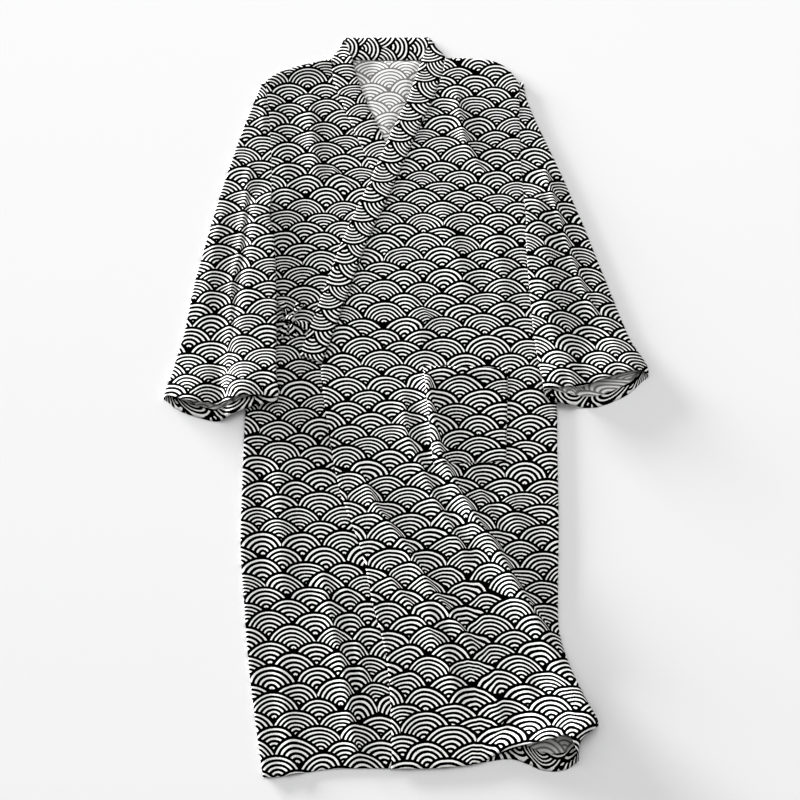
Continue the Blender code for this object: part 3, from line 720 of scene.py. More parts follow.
def neck_swell(x, y):
    """How far the back swells up inside the neck, nearly level with the band round it."""
    inside = np.minimum(x - smooth_line(UNDER_FREE, y), smooth_line(OVER_FREE, y) - x)
    inside = np.minimum(inside, NECK_TOP - y)
    swell = NECK_UNDER_BAND * ease(-NECK_COVER, 0, inside)
    swell = swell + NECK_INSIDE * ease(0, NECK_RAMP, inside)
    from_hollow = np.hypot(x - NECK_HOLLOW[0], y - NECK_HOLLOW[1])
    return swell * (1 - np.exp(-(from_hollow / NECK_HOLLOW_SIZE)**2))


def body_places(grid, top_rim, hem_rim, low_edge, high_edge, height, panel):
    """Points of a panel. A row's place depends on its column's and the other way round, so both
    are brought nearer step by step."""
    shares, low_turn, high_turn, top_turn, drop = grid
    x = np.zeros((len(drop), len(shares)))
    y = np.zeros_like(x)
    for _ in range(FIT_ROUNDS):
        level_y = mix(smooth_line(top_rim, x) - SIDE_ROUND, smooth_line(hem_rim, x), drop)
        y = mix(y, level_y + SIDE_ROUND * cosine(top_turn), FIT_STEP)
        low_radius = SIDE_ROUND if panel != "left" else 0.0
        high_radius = left_round(y) if panel != "right" else 0.0
        across = mix(low_edge(y) + low_radius, high_edge(y) - high_radius, shares)
        across = across - low_radius * cosine(low_turn) + high_radius * cosine(high_turn)
        x = mix(x, across, FIT_STEP)
    folded = 1 - ease(ARMHOLE_END - ARMHOLE_BLEND, ARMHOLE_END, y)
    rise = 1 - folded * (1 - sine(low_turn) * sine(high_turn))
    seam = BACK_LEVEL + np.where(high_turn < 90, left_round(y), SIDE_ROUND)
    if panel == "back":
        level = mix(seam - SEAM_HALF, BACK_LEVEL, rise) + neck_swell(x, y)
    else:
        level = mix(seam + SEAM_HALF, height(x, y), rise)
        level = mix(SHOULDER_SEAM, level, sine(top_turn))
    return np.stack([x, y, level], axis=2)


def right_side(y):
    return smooth_line(RIGHT_SIDE, y)


def left_side(y):
    return smooth_line(LEFT_SIDE, y)


print("a side fold is", 2 * SIDE_ROUND, "mm high")

# %% [markdown]
# The left front takes the most creases: it slid over the right front when the robe was closed.
# One long crease runs from the pocket to the hem's corner, and others fan out beside it. The
# right front shows only a few, next to the overlap.

# %% Ridges and creases of the fronts
LEFT_FRONT_CREASES = (
    Crease(((96, 545), (105, 481), (111, 439), (138, 375)), 9, 4.5, 7, 40, 60),
    Crease(((4, -20), (10, -111), (36, -171), (53, -219), (83, -275), (113, -329)),
           8, 4.0, 10, 60, 50),
    Crease(((43, 4), (50, -60), (66, -150), (90, -205), (119, -260), (146, -295), (180, -365),
            (206, -408), (238, -450), (262, -500), (290, -556)), 11, 8.0, 13, 30, 0),
    Crease(((94, -212), (119, -260), (144, -298), (175, -365), (200, -408), (230, -450),
            (254, -500), (274, -536)), 16, 7.0, 0, 50, 50),
    Crease(((70, -120), (102, -205), (134, -262), (164, -300), (198, -366), (226, -412)),
           24, 3.5, 0, 50, 60),
    Crease(((99, -139), (130, -215), (161, -297)), 9, 3.0, 7, 40, 40),
    Crease(((-76, -148), (-49, -204), (-34, -239), (9, -297), (47, -363), (86, -418),
            (128, -476)), 9, 6.0, 11, 50, 60),
    Crease(((-34, -320), (-1, -370), (34, -414), (66, -470)), 8, 3.5, 8, 40, 50),
    Crease(((20, -330), (58, -440), (96, -560)), 12, 3.5, 0, 70, 60),
    Crease(((150, -182), (196, -300), (236, -420)), 16, 4.0, 0, 60, 80),
    Crease(((178, -470), (214, -604)), 12, 4.0, 0, 60, 0),
    Crease(((60, 330), (88, 230), (120, 110)), 17, 2.5, 0, 70, 70),
    Crease(((150, 300), (168, 200), (172, 60)), 15, 2.0, 0, 70, 70),
    Crease(((0, 180), (30, 90), (34, 10)), 14, 2.0, 0, 60, 60),
    Crease(((-60, -330), (-40, -450), (20, -600)), 18, 2.0, 0, 70, 40),
    Crease(((130, -500), (160, -612)), 12, 2.5, 0, 60, 0),
    Crease(((127, 394), (153, 360)), 5, 1.8, 6, 8, 10),
    Crease(((33, 122), (53, 85)), 5, 1.6, 6, 8, 8),
    Crease(((-27, 198), (-15, 230)), 4, 1.2, 4, 8, 8),
)
RIGHT_FRONT_CREASES = (
    Crease(((-127, -319), (-106, -402), (-99, -439), (-86, -484), (-75, -558), (-62, -632)),
           10, 4.5, 9, 45, 20),
    Crease(((-88, -343), (-82, -366), (-67, -393), (-60, -469), (-42, -537), (-36, -560)),
           8, 4.0, 8, 25, 35),
    Crease(((-120, 384), (-82, 343)), 5, 1.4, 5, 10, 10),
    Crease(((-196, -120), (-188, -260), (-176, -420)), 15, 3.0, 0, 70, 90),
    Crease(((-160, 540), (-150, 430), (-138, 330)), 12, 3.0, 5, 60, 70),
    Crease(((-190, -430), (-160, -640)), 13, 2.5, 0, 70, 0),
    Crease(((-205, 430), (-188, 330), (-180, 180)), 12, 2.0, 0, 60, 60),
    Crease(((-212, 62), (-210, -78)), 36, 3.6, 0, 34, 50),
)
FOLD_MARGIN = 24.0
FOLD_EDGE = 20.0


def left_front_level(x, y):
    radius = left_round(y)
    spread = SIDE_SOFTNESS + OPEN_SOFTNESS * (radius - SIDE_ROUND)
    from_side = left_side(y) - radius - x
    level = mix(edge_height(radius), OVER_LEVEL, ease(0, 1, from_side / spread))
    return level + relief(LEFT_FRONT_CREASES, x, y) * ease(0, SIDE_SOFTNESS, from_side)


def right_front_level(x, y):
    from_side = x - right_side(y) - SIDE_ROUND
    from_side = np.minimum(from_side, smooth_line(RIGHT_SHOULDER, x) - SIDE_ROUND - y)
    level = mix(edge_height(SIDE_ROUND), UNDER_LEVEL, ease(0, SIDE_SOFTNESS, from_side))
    shown = ease(0, FOLD_MARGIN, left_front_edge(y) - FOLD_MARGIN - x)
    shown = shown * ease(0, FOLD_EDGE, from_side)
    return level + relief(RIGHT_FRONT_CREASES, x, y) * shown


print("level in the middle of the left front:", float(left_front_level(60.0, 100.0).round(1)))

# %% [markdown]
# Threads don't run straight down a robe that is laid out by hand. Where a front pulls towards its
# side, the columns of fans lean with it, while the rows stay nearly level. The print's own x is
# the place's x less that lean, and what the creases swallow is taken out of both x and y.

# %% The three panels of the body
Lean = namedtuple("Lean", "y shift")

RIGHT_LEAN = (Lean(-650, 44), Lean(-400, 20), Lean(-220, 3), Lean(0, 0), Lean(600, 0))
LEFT_LEAN = (Lean(-640, 10), Lean(-560, 26), Lean(-480, 10), Lean(-400, 0), Lean(0, 12),
             Lean(300, 0), Lean(600, 0))
LEFT_LEAN_SPREAD = (20, 250)
LEFT_PRINT_SHIFT = (27.8, 1.7)
RIGHT_PRINT_SHIFT = (-2.2, -8.3)
BACK_PRINT_SHIFT = (13.4, -10.6)
PRINT_ROW = 60
HEM_ROWS = 5


def front_print(x, y, creases, lean_rows, share, shift):
    """The print's own x and y on a front: share says how much of the lean a place has."""
    gone_x, gone_y = swallowed(creases, x, y)
    return x - smooth_line(lean_rows, y) * share + gone_x + shift[0], y + gone_y + shift[1]


def add_panel(name, places, print_x, print_y, sign, way=1):
    cloth_map = lay_print(places, print_x, print_y, places.shape[1] // 2, PRINT_ROW, way)
    places, cloth_map = turn_hem(places, cloth_map, sign, HEM_ROWS)
    return make_cloth(name, places, cloth_map, sign, both_sides)


back_grid = body_grid(84, 236, True, True)
back_places = body_places(back_grid, BACK_TOP, BACK_HEM, right_side, left_side, None, "back")
back = add_panel("Back", back_places, BACK_PRINT_SHIFT[0] - back_places[..., 0],
                 back_places[..., 1] + BACK_PRINT_SHIFT[1], 1, -1)

right_grid = body_grid(64, 256, True, False)
right_places = body_places(right_grid, RIGHT_SHOULDER, RIGHT_HEM, right_side, right_front_edge,
                           right_front_level, "right")
right_x, right_y = front_print(right_places[..., 0], right_places[..., 1], RIGHT_FRONT_CREASES,
                               RIGHT_LEAN, 1.0, RIGHT_PRINT_SHIFT)
right_front = add_panel("Right_front", right_places, right_x, right_y, -1)

left_grid = body_grid(84, 256, False, True)
left_places = body_places(left_grid, LEFT_SHOULDER, LEFT_HEM, left_front_edge, left_side,
                          left_front_level, "left")
left_share = ease(*LEFT_LEAN_SPREAD, left_places[..., 0])
left_x, left_y = front_print(left_places[..., 0], left_places[..., 1], LEFT_FRONT_CREASES,
                             LEFT_LEAN, left_share, LEFT_PRINT_SHIFT)
left_front = add_panel("Left_front", left_places, left_x, left_y, -1)

# %% [markdown]
# A yukata's sleeve is one straight piece, folded along its outer edge and joined at the armhole.
# The sheet starts at the front seam, runs over the sleeve, round the fold and back underneath.
# The mouths don't lie flat: their two hems gape unevenly. A small table gives the place of
# both hems, and how far they stand apart, along each mouth.

# %% Outlines of the sleeves
Mouth = namedtuple("Mouth", "across upper_y under_y gape")

RIGHT_SLEEVE_OUTER = (
    Edge(-90, -383), Edge(-47, -382), Edge(0, -370), Edge(67, -355), Edge(110, -349),
    Edge(167, -341), Edge(215, -331), Edge(267, -320), Edge(330, -306), Edge(400, -288),
    Edge(455, -273), Edge(500, -259), Edge(540, -246), Edge(551, -243),
)
RIGHT_SLEEVE_INNER = (
    Edge(-60, -196), Edge(-46, -196), Edge(0, -201), Edge(117, -204), Edge(200, -209),
    Edge(260, -214), Edge(300, -217.4),
)
RIGHT_SLEEVE_MOUTH = (
    Mouth(0.00, -50, -57, 1.5), Mouth(0.12, -49, -61, 2.5), Mouth(0.24, -49, -66, 6.5),
    Mouth(0.36, -52, -75, 8.0), Mouth(0.44, -57, -82, 4.0), Mouth(0.51, -61, -86, 1.5),
    Mouth(0.58, -59, -86, 5.0), Mouth(0.70, -58, -80, 12.0), Mouth(0.82, -55, -73, 12.5),
    Mouth(0.92, -49, -64, 8.0), Mouth(1.00, -45, -52, 4.5),
)
LEFT_SLEEVE_OUTER = (
    Edge(-70, 400), Edge(-14, 403), Edge(2, 404), Edge(22, 396), Edge(42, 384), Edge(60, 376),
    Edge(105, 361), Edge(140, 350), Edge(175, 339), Edge(210, 328), Edge(262, 312),
    Edge(300, 299), Edge(345, 284), Edge(410, 260), Edge(470, 237), Edge(520, 221),
    Edge(551, 217),
)
LEFT_SLEEVE_INNER = (
    Edge(-62, 233), Edge(-35, 232), Edge(0, 227), Edge(50, 221), Edge(100, 217),
    Edge(200, 213), Edge(260, 211.5), Edge(300, 210.4),
)
LEFT_SLEEVE_MOUTH = (
    Mouth(0.00, -38, -48, 1.5), Mouth(0.12, -35, -58, 4.0), Mouth(0.22, -33, -62, 3.0),
    Mouth(0.32, -33, -63, 7.5), Mouth(0.42, -28, -63, 9.5), Mouth(0.52, -22, -62, 9.5),
    Mouth(0.64, -15, -56, 10.5), Mouth(0.76, -8, -47, 9.0), Mouth(0.87, -3, -36, 10.0),
    Mouth(1.00, -2, -15, 5.0),
)
RIGHT_SLEEVE_CREASES = (
    Crease(((-256, 420), (-262, 330), (-269, 215), (-279, 160), (-280, 100), (-282, 20),
            (-284, -44)), 7, 3.2, 9, 90, 6),
    Crease(((-300, 330), (-318, 180), (-330, 60)), 12, 2.4, 0, 70, 70),
    Crease(((-236, 540), (-234, 500), (-240, 430)), 7, 2.4, 5, 20, 60),
)
LEFT_SLEEVE_CREASES = (
    Crease(((246, 396), (254, 348), (265, 303), (274, 261), (284, 219), (303, 153),
            (332, 81)), 8, 3.8, 13, 30, 45),
    Crease(((232, 190), (248, 80), (262, -20)), 12, 2.4, 0, 70, 10),
    Crease(((318, 190), (336, 110), (352, 20)), 11, 2.4, 0, 60, 20),
)
print("lowest points of the mouths:", min(row.under_y for row in RIGHT_SLEEVE_MOUTH),
      min(row.under_y for row in LEFT_SLEEVE_MOUTH))

# %% [markdown]
# The sleeves lie on the body below the underarm and beside it above. So the under layer climbs
# from the surface onto the body's side fold, and comes down again higher up, where the armhole
# joins both. By the mouth it stands off a little more. The under layer's hem is cut straight
# along the print, so its cloth coordinates are pinned to one height there.

# %% The two sleeves
SLEEVE_TOP = 551.0
SLEEVE_ROUND = 2.0
SLEEVE_OVER_BODY = 6.8
CUFF_STAND = 6.0
SLEEVE_CLIMB = (22.0, 46.0)
SLEEVE_CLIMB_FADE = 46.0
SLEEVE_CROSSING = (250.0, 288.0)
ARMHOLE_TURN = (290.0, 322.0)
ARMHOLE_GAP = 0.3
CUFF_FLARE = 95.0
CUFF_BLEND = 10
CUFF_ROWS = 4
SLEEVE_ROWS = 132
OUTER_FOLD = 9
SLEEVE_FOLD_MARGIN = 14.0
ROUND_LIMIT = 3.0
Sleeve = namedtuple("Sleeve", "name columns inner outer side mouth creases lean sign hem_v")
SLEEVES = (
    Sleeve("Right_sleeve", 40, RIGHT_SLEEVE_INNER, RIGHT_SLEEVE_OUTER, RIGHT_SIDE,
           RIGHT_SLEEVE_MOUTH, RIGHT_SLEEVE_CREASES,
           (Lean(-90, -24), Lean(300, -14), Lean(551, 0)), -1, -75.0),
    Sleeve("Left_sleeve", 42, LEFT_SLEEVE_INNER, LEFT_SLEEVE_OUTER, LEFT_SIDE,
           LEFT_SLEEVE_MOUTH, LEFT_SLEEVE_CREASES,
           (Lean(-80, 150), Lean(300, 60), Lean(551, 0)), 1, -53.6),
)


def mouth_line(mouth, field, across):
    return smooth_line([(row.across, getattr(row, field)) for row in mouth], across)


def sleeve_places(sleeve):
    """A sleeve's points, worked out for +X outwards and mirrored by its sign."""
    upper = np.linspace(0, 1, sleeve.columns)
    across = np.concatenate([np.zeros(len(ARC)), upper, np.ones(OUTER_FOLD), upper[::-1],
                             np.zeros(len(ARC))])
    inner_turn = np.concatenate([ARC, np.full(2 * sleeve.columns + OUTER_FOLD, 90.0), ARC[::-1]])
    turn = np.concatenate([np.full(len(ARC) + sleeve.columns, 90.0),
                           np.linspace(90, -90, OUTER_FOLD + 2)[1:-1],
                           np.full(sleeve.columns + len(ARC), -90.0)])
    end = mix(mouth_line(sleeve.mouth, "under_y", across),
              mouth_line(sleeve.mouth, "upper_y", across), (90 + turn) / 180)
    y = mix(SLEEVE_TOP, end, np.linspace(0, 1, SLEEVE_ROWS)[:, None])
    outer = sleeve.sign * smooth_line(sleeve.outer, y)
    side = sleeve.sign * smooth_line(sleeve.side, y)
    closed = 1 - ease(*ARMHOLE_TURN, y)
    inner = mix(sleeve.sign * smooth_line(sleeve.inner, y), side + ARMHOLE_GAP,
                ease(*SLEEVE_CROSSING, y))
    near_mouth = 1 - ease(0, CUFF_FLARE, y - end)
    round_now = SLEEVE_ROUND + near_mouth * mouth_line(sleeve.mouth, "gape", 1.0)
    round_now = np.minimum(round_now, (outer - inner) / ROUND_LIMIT)
    out = mix(inner + SLEEVE_ROUND, outer - round_now, across)
    out = out - SLEEVE_ROUND * cosine(inner_turn) + round_now * cosine(turn)
    over_body = 1 - ease(*SLEEVE_CLIMB, out - side)
    over_body = over_body * (1 - ease(ARMHOLE_END, ARMHOLE_END + SLEEVE_CLIMB_FADE, y))
    under_level = mix(BACK_LEVEL, SLEEVE_OVER_BODY + near_mouth * CUFF_STAND, over_body)
    upper_level = under_level + 2 * SLEEVE_ROUND
    upper_level = upper_level + near_mouth * mouth_line(sleeve.mouth, "gape", across)
    inside = ease(0, SLEEVE_FOLD_MARGIN, np.minimum(out - inner, outer - out))
    upper_level = upper_level + relief(sleeve.creases, sleeve.sign * out, y) * inside
    level = mix(under_level, upper_level, (1 + sine(turn)) / 2)
    seam = (under_level + upper_level) / 2
    level = mix(level, mix(seam, level, sine(inner_turn)), closed)
    return np.stack([sleeve.sign * out, y, level], axis=2)


def sleeve_print(sleeve, places):
    """The print runs on round the outer fold, so its x goes on outwards underneath."""
    x, y = places[..., 0], places[..., 1]
    fold = places.shape[1] // 2
    above = np.arange(places.shape[1]) <= fold
    gone_x, gone_y = swallowed(sleeve.creases, x, y)
    outwards = np.where(above, x + gone_x, 2 * x[:, fold:fold + 1] - x + gone_x[:, fold:fold + 1])
    print_x = outwards - smooth_line(sleeve.lean, y)
    print_y = y + np.where(above, gone_y, gone_y[:, fold:fold + 1])
    cloth_map = lay_print(places, print_x, print_y, len(ARC), PRINT_ROW, sleeve.sign)
    below = ease(fold, fold + CUFF_BLEND, np.arange(places.shape[1]))
    near_mouth = 1 - ease(0, CUFF_FLARE, y - y[-1:])
    cloth_map[..., 1] += (sleeve.hem_v - cloth_map[-1:, :, 1]) * below * near_mouth
    return cloth_map


def add_sleeve(sleeve, places):
    cloth = turn_hem(places, sleeve_print(sleeve, places), -sleeve.sign, CUFF_ROWS)
    return make_cloth(sleeve.name, *cloth, -sleeve.sign, both_sides)


sleeve_grids = [sleeve_places(sleeve) for sleeve in SLEEVES]
right_sleeve, left_sleeve = (add_sleeve(*pair) for pair in zip(SLEEVES, sleeve_grids))

# %% [markdown]
# The band is one strip of the same cloth, cut along the print's columns. Laid along the neck,
# its fans stand upright on the right front, lie on their sides behind the neck, and hang upside
# down on the left front. It is folded double, so its free edge is a fold and its seam is raw. A
# strip can't turn a sharp corner flat, so it has a mitre at each side of the neck, and the print
# runs straight on to the mitre from both sides.

# %% The collar band
BAND_ROWS = 330
BAND_COLUMNS = 9
BAND_FOLD_REACH = 1.012
BAND_FOLD_HEIGHTS = (0.7, 0.3)
BAND_GAP = 0.3
BAND_THICKNESS = 1.4
MITRES = (12.0, 18.0)
MITRE_GAP = 0.004
Straight = namedtuple("Straight", "low high like")
STRAIGHTS = (Straight(9.5, 12.0, 9.5), Straight(12.0, 18.0, 15.5), Straight(18.0, 20.5, 20.5))
NeckLift = namedtuple("NeckLift", "at size")
NECK_LIFT = (NeckLift(15.5, 0.0), NeckLift(17.5, 2.5), NeckLift(19.5, 6.5), NeckLift(20.5, 4.5),
             NeckLift(21.5, 1.5), NeckLift(23, 0.0))
BandShift = namedtuple("BandShift", "at across")
BAND_SHIFTS = (BandShift(0, 13), BandShift(11.9, 13), BandShift(12.1, 1), BandShift(17.9, 1),
               BandShift(18.1, 3), BandShift(29, 3))
BAND_PHASES = (20.0, 10.0, 20.0)


def band_rows():
    """Places along the band, with two rows close together at each mitre."""
    at = np.linspace(0, len(COLLAR) - 1, BAND_ROWS)
    extra = [mitre + side * MITRE_GAP for mitre in MITRES for side in (-1, 1)]
    return np.sort(np.concatenate([at, extra]))


def band_places(at):
    """The band as a flat tube: over its upper side, round the free edge and back below."""
    lines = {field: smooth_line([(i, getattr(station, field))
                                 for i, station in enumerate(COLLAR)], at)
             for field in Station._fields}
    over = at <= OVER_STATIONS
    under = at >= UNDER_START
    lines["seam_x"] = np.where(over, smooth_line(OVER_SEAM, lines["seam_y"]), lines["seam_x"])
    lines["seam_x"] = np.where(under, smooth_line(UNDER_SEAM, lines["seam_y"]), lines["seam_x"])
    share = np.linspace(0, 1, BAND_COLUMNS)
    share = np.concatenate([share, [BAND_FOLD_REACH, BAND_FOLD_REACH], share[::-1]])
    height = np.concatenate([np.ones(BAND_COLUMNS), BAND_FOLD_HEIGHTS, np.zeros(BAND_COLUMNS)])
    x = mix(lines["seam_x"][:, None], lines["free_x"][:, None], share)
    y = mix(lines["seam_y"][:, None], lines["free_y"][:, None], share)
    lift = smooth_line(NECK_LIFT, at)[:, None] * share**2
    z = lines["level"][:, None] + BAND_GAP + BAND_THICKNESS * height + lift
    return np.stack([x, y, z], axis=2)


def band_print(at, places):
    """Follow the band, but stay straight up to each mitre, where it is folded over."""
    plan = places[:, :BAND_COLUMNS, :2]
    centre = plan[:, BAND_COLUMNS // 2]
    travel = np.concatenate([[0.0], np.cumsum(np.linalg.norm(np.diff(centre, axis=0), axis=1))])
    ahead = np.gradient(centre, axis=0)
    ahead = ahead / np.linalg.norm(ahead, axis=1, keepdims=True)
    frame_row = np.arange(len(at))
    for straight in STRAIGHTS:
        frame_row = np.where((at > straight.low) & (at < straight.high),
                             np.searchsorted(at, straight.like), frame_row)
    away = plan - centre[frame_row][:, None]
    ahead = ahead[frame_row][:, None]
    along = travel[frame_row][:, None] + (away * ahead).sum(axis=2)
    across = away[..., 1] * ahead[..., 0] - away[..., 0] * ahead[..., 1]
    phase = np.select([at < MITRES[0], at < MITRES[1]], BAND_PHASES[:2], BAND_PHASES[2])
    u = across + FAN_PITCH / 2 - smooth_line(BAND_SHIFTS, at)[:, None]
    v = phase[:, None] - along
    edge = u[:, -1:]
    u = np.concatenate([u, edge + 1, edge + 2, 2 * edge + 3 - u[:, ::-1]], axis=1)
    v = np.concatenate([v, v[:, -1:], v[:, -1:], v[:, ::-1]], axis=1)
    return np.stack([u, v], axis=2)


band_at = band_rows()
band_grid = band_places(band_at)
band_map = band_print(band_at, band_grid)
band = make_cloth("Collar_band", band_grid, band_map, -1, both_sides)
print("rows along the band:", len(band_at))

# %% [markdown]
# The pocket is a patch sewn on three sides. Its print is nearly in line with the front's, but
# not quite, and that is what shows it. Its mouth stands off a little.

# %% The patch pocket
POCKET_TOP_LEFT = (38, 8)
POCKET_TOP_RIGHT = (176, 4)
POCKET_LOW_LEFT = (53, -163)
POCKET_LOW_RIGHT = (169, -157)
POCKET_GAP = 0.35
POCKET_GAPE = 2.2
POCKET_GAPE_DEPTH = 34.0
POCKET_GAPE_SHAPE = 0.8
POCKET_SHIFT = (4.0, 3.0)


def pocket_places(rows, columns):
    across = np.linspace(0, 1, columns)[None, :]
    down = np.linspace(0, 1, rows)[:, None]
    top = [mix(POCKET_TOP_LEFT[axis], POCKET_TOP_RIGHT[axis], across) for axis in (0, 1)]
    low = [mix(POCKET_LOW_LEFT[axis], POCKET_LOW_RIGHT[axis], across) for axis in (0, 1)]
    x = mix(top[0], low[0], down)
    y = mix(top[1], low[1], down)
    gape = ease(0, POCKET_GAPE_DEPTH, POCKET_GAPE_DEPTH - (top[1] - y))
    gape = gape * np.sin(np.pi * across) ** POCKET_GAPE_SHAPE
    level = left_front_level(x, y) + CLOTH + POCKET_GAP + POCKET_GAPE * gape
    return np.stack([x, y, level], axis=2)


pocket_grid = pocket_places(44, 36)
pocket_share = ease(*LEFT_LEAN_SPREAD, pocket_grid[..., 0])
pocket_x, pocket_y = front_print(pocket_grid[..., 0], pocket_grid[..., 1], LEFT_FRONT_CREASES,
                                 LEFT_LEAN, pocket_share, np.add(LEFT_PRINT_SHIFT, POCKET_SHIFT))
pocket = make_cloth("Patch_pocket", pocket_grid, lay_print(pocket_grid, pocket_x, pocket_y, 0, 0),
                    -1, both_sides)

# %% [markdown]
# The tie is two tapes made of the robe's cloth: one from the side and one from the band's lower
# end. They are tied in a small bow. Each loop is a tape that goes out and comes back over
# itself, and the knot is the crossing drawn tight.

# %% The side tie
KNOT = np.array([-181.0, 92.0])
KNOT_SIZE = (15.0, 13.0, 8.5)
TIE_WIDTH = 12.0
TIE_GATHERED = 5.0
TIE_REST = 3.65
TIE_REACH = 2.4
TIE_CUP = 0.9
TIE_CUP_GATHERED = 3
TIE_FULL_AT = 0.7
TAPE_WALL = 0.9
TAPE_COLUMNS = 5
TAPE_ROWS = 16
LOOP_ROWS = 34
LOOP_ROUND = 0.7
LOOP_START = 0.2
LOOP_LOW = 0.55
Tape = namedtuple("Tape", "name end_x end_y start_height end_height bow")
TAPES = (
    Tape("Tie_tail_left", -196, 62, 3.0, 0.0, 1.5),
    Tape("Tie_tail_right", -175, 59, 3.0, 0.0, 1.5),
    Tape("Tie_strap_band", -149, 77, 2.6, 1.4, 1.0),
    Tape("Tie_strap_side", -209, 98, 1.6, 1.3, 0.3),
)
Loop = namedtuple("Loop", "name end_x end_y height")
LOOPS = (
    Loop("Tie_loop_left", -196, 122, 5.2),
    Loop("Tie_loop_right", -164, 121, 5.6),
)


def make_tape(name, end_x, end_y, share, height, fullness, sign):
    """A tape from the knot towards its end, as far and as high at each row as it is told."""
    away = np.array([end_x, end_y]) - KNOT
    ahead = away / np.linalg.norm(away)
    start = ahead * (KNOT_SIZE[0] / 2 + TIE_REACH)
    aside = np.array([-ahead[1], ahead[0]])
    width = mix(TIE_GATHERED, TIE_WIDTH, ease(0, TIE_FULL_AT, fullness))
    across = np.linspace(-0.5, 0.5, TAPE_COLUMNS)
    spot = KNOT + mix(start, away, share[:, None])
    x = spot[:, :1] + aside[0] * across * width[:, None]
    y = spot[:, 1:] + aside[1] * across * width[:, None]
    gathered = 1 + (TIE_WIDTH - width[:, None]) / TIE_CUP_GATHERED
    cupped = TIE_CUP * (0.25 - across**2) * gathered
    z = TIE_REST + height[:, None] + cupped
    points = np.stack([x, y, z], axis=2)
    travel = np.concatenate([[0], np.cumsum(np.linalg.norm(
        np.diff(points[:, TAPE_COLUMNS // 2], axis=0), axis=1))])
    tape_map = np.stack(np.broadcast_arrays((across * TIE_WIDTH)[None, :] + end_x,
                                            travel[:, None] + end_y), axis=2)
    return make_cloth(name, points, tape_map, sign, both_sides, TAPE_WALL)


tie_parts = {}
for tape in TAPES:
    run = np.linspace(0, 1, TAPE_ROWS)
    height = mix(tape.start_height, tape.end_height, ease(0, 1, run))
    tie_parts[tape.name] = make_tape(tape.name, tape.end_x, tape.end_y, run,
                                     height + tape.bow * np.sin(np.pi * run), run, -1)
for loop in LOOPS:
    turn = np.linspace(0, np.pi, LOOP_ROWS)
    out = np.sin(turn) ** LOOP_ROUND
    lift = (1 - np.cos(turn)) / 2 * mix(LOOP_LOW, 1, out)
    tie_parts[loop.name] = make_tape(loop.name, loop.end_x, loop.end_y, out,
                                     LOOP_START + loop.height * lift, np.sin(turn), 1)


KNOT_SINK = 0.5
KNOT_DENT = 0.06
KNOT_PRINT_SIZE = 1.3


def make_knot():
    """A ball pressed to the knot's size, with three dents that wind round it."""
    mesh = bpy.data.meshes.new("Tie_knot")
    ball = bmesh.new()
    bmesh.ops.create_uvsphere(ball, u_segments=28, v_segments=16, radius=0.5)
    layer = ball.loops.layers.uv.new("Cloth")
    middle = Vector((*KNOT, TIE_REST - KNOT_SINK + KNOT_SIZE[2] / 2)) - Vector(CENTRE)
    for vert in ball.verts:
        swirl = math.atan2(vert.co.y, vert.co.x)
        dent = 1 + KNOT_DENT * math.sin(3 * swirl + 4 * vert.co.z)
        vert.co = (Vector(size * dent * c for size, c in zip(KNOT_SIZE, vert.co)) + middle) * MM
    for face in ball.faces:
        for corner in face.loops:
            corner[layer].uv = corner.vert.co.xy * KNOT_PRINT_SIZE
    ball.to_mesh(mesh)
    ball.free()
    mesh.shade_smooth()
    mesh.materials.append(printed)
    return add_object("Tie_knot", mesh)


knot = make_knot()
print("faces of the knot:", len(knot.data.polygons))

# %% [markdown]
# Hems, the pocket and the band's seam are stitched by machine. Each stitch is a short thread that
# dips into the cloth at both ends, so a small double pyramid is enough for one. Hundreds of them
# are worked out at once along lines that are read from the pieces' own grids, so that every row
# follows the cloth over its creases.

# %% Rows of stitches
STITCH = 2.7
STITCH_PITCH = 3.7
STITCH_WIDTH = 0.5
STITCH_HEIGHT = 0.3
STITCH_SINK = 0.1
STITCH_FACES = np.array([(0, 1, 2), (0, 2, 3), (0, 3, 4), (0, 4, 1),
                         (5, 2, 1), (5, 3, 2), (5, 4, 3), (5, 1, 4)])


def thread_material():
    material = bpy.data.materials.new("Black thread")
    material.use_nodes = True
    tree = material.node_tree
    shader = tree.nodes["Principled BSDF"]
    shader.inputs["Base Color"].default_value = (0.012, 0.012, 0.013, 1)
    shader.inputs["Roughness"].default_value = 0.6
    twist = tree.nodes.new("ShaderNodeTexWave")
    twist.bands_direction = "DIAGONAL"
    twist.inputs["Scale"].default_value = 0.5 / MM
    bump = tree.nodes.new("ShaderNodeBump")
    bump.inputs["Strength"].default_value = 0.5
    bump.inputs["Distance"].default_value = 0.1 * MM
    place = tree.nodes.new("ShaderNodeTexCoord")
    tree.links.new(place.outputs["Object"], twist.inputs["Vector"])
    tree.links.new(twist.outputs[0], bump.inputs["Height"])
    tree.links.new(bump.outputs[0], shader.inputs["Normal"])
    return material


def stitch_row(path, up):
    """Corners of all stitches along a path of points, with the cloth's normals beside it."""
    run = np.concatenate([[0], np.cumsum(np.linalg.norm(np.diff(path, axis=0), axis=1))])
    first = np.arange(STITCH_PITCH / 2, run[-1] - STITCH, STITCH_PITCH)

    def read(values, at):
        return np.stack([np.interp(at, run, values[:, axis]) for axis in range(3)], axis=1)

    start, end = read(path, first), read(path, first + STITCH)
    lift = read(up, first + STITCH / 2)
    ahead = (end - start) / np.linalg.norm(end - start, axis=1, keepdims=True)
    aside = np.cross(ahead, lift) * STITCH_WIDTH / 2
    middle = (start + end) / 2
    return np.stack([start - lift * STITCH_SINK, middle + aside, middle + lift * STITCH_HEIGHT,
                     middle - aside, middle - lift * STITCH_SINK, end - lift * STITCH_SINK],
                    axis=1)


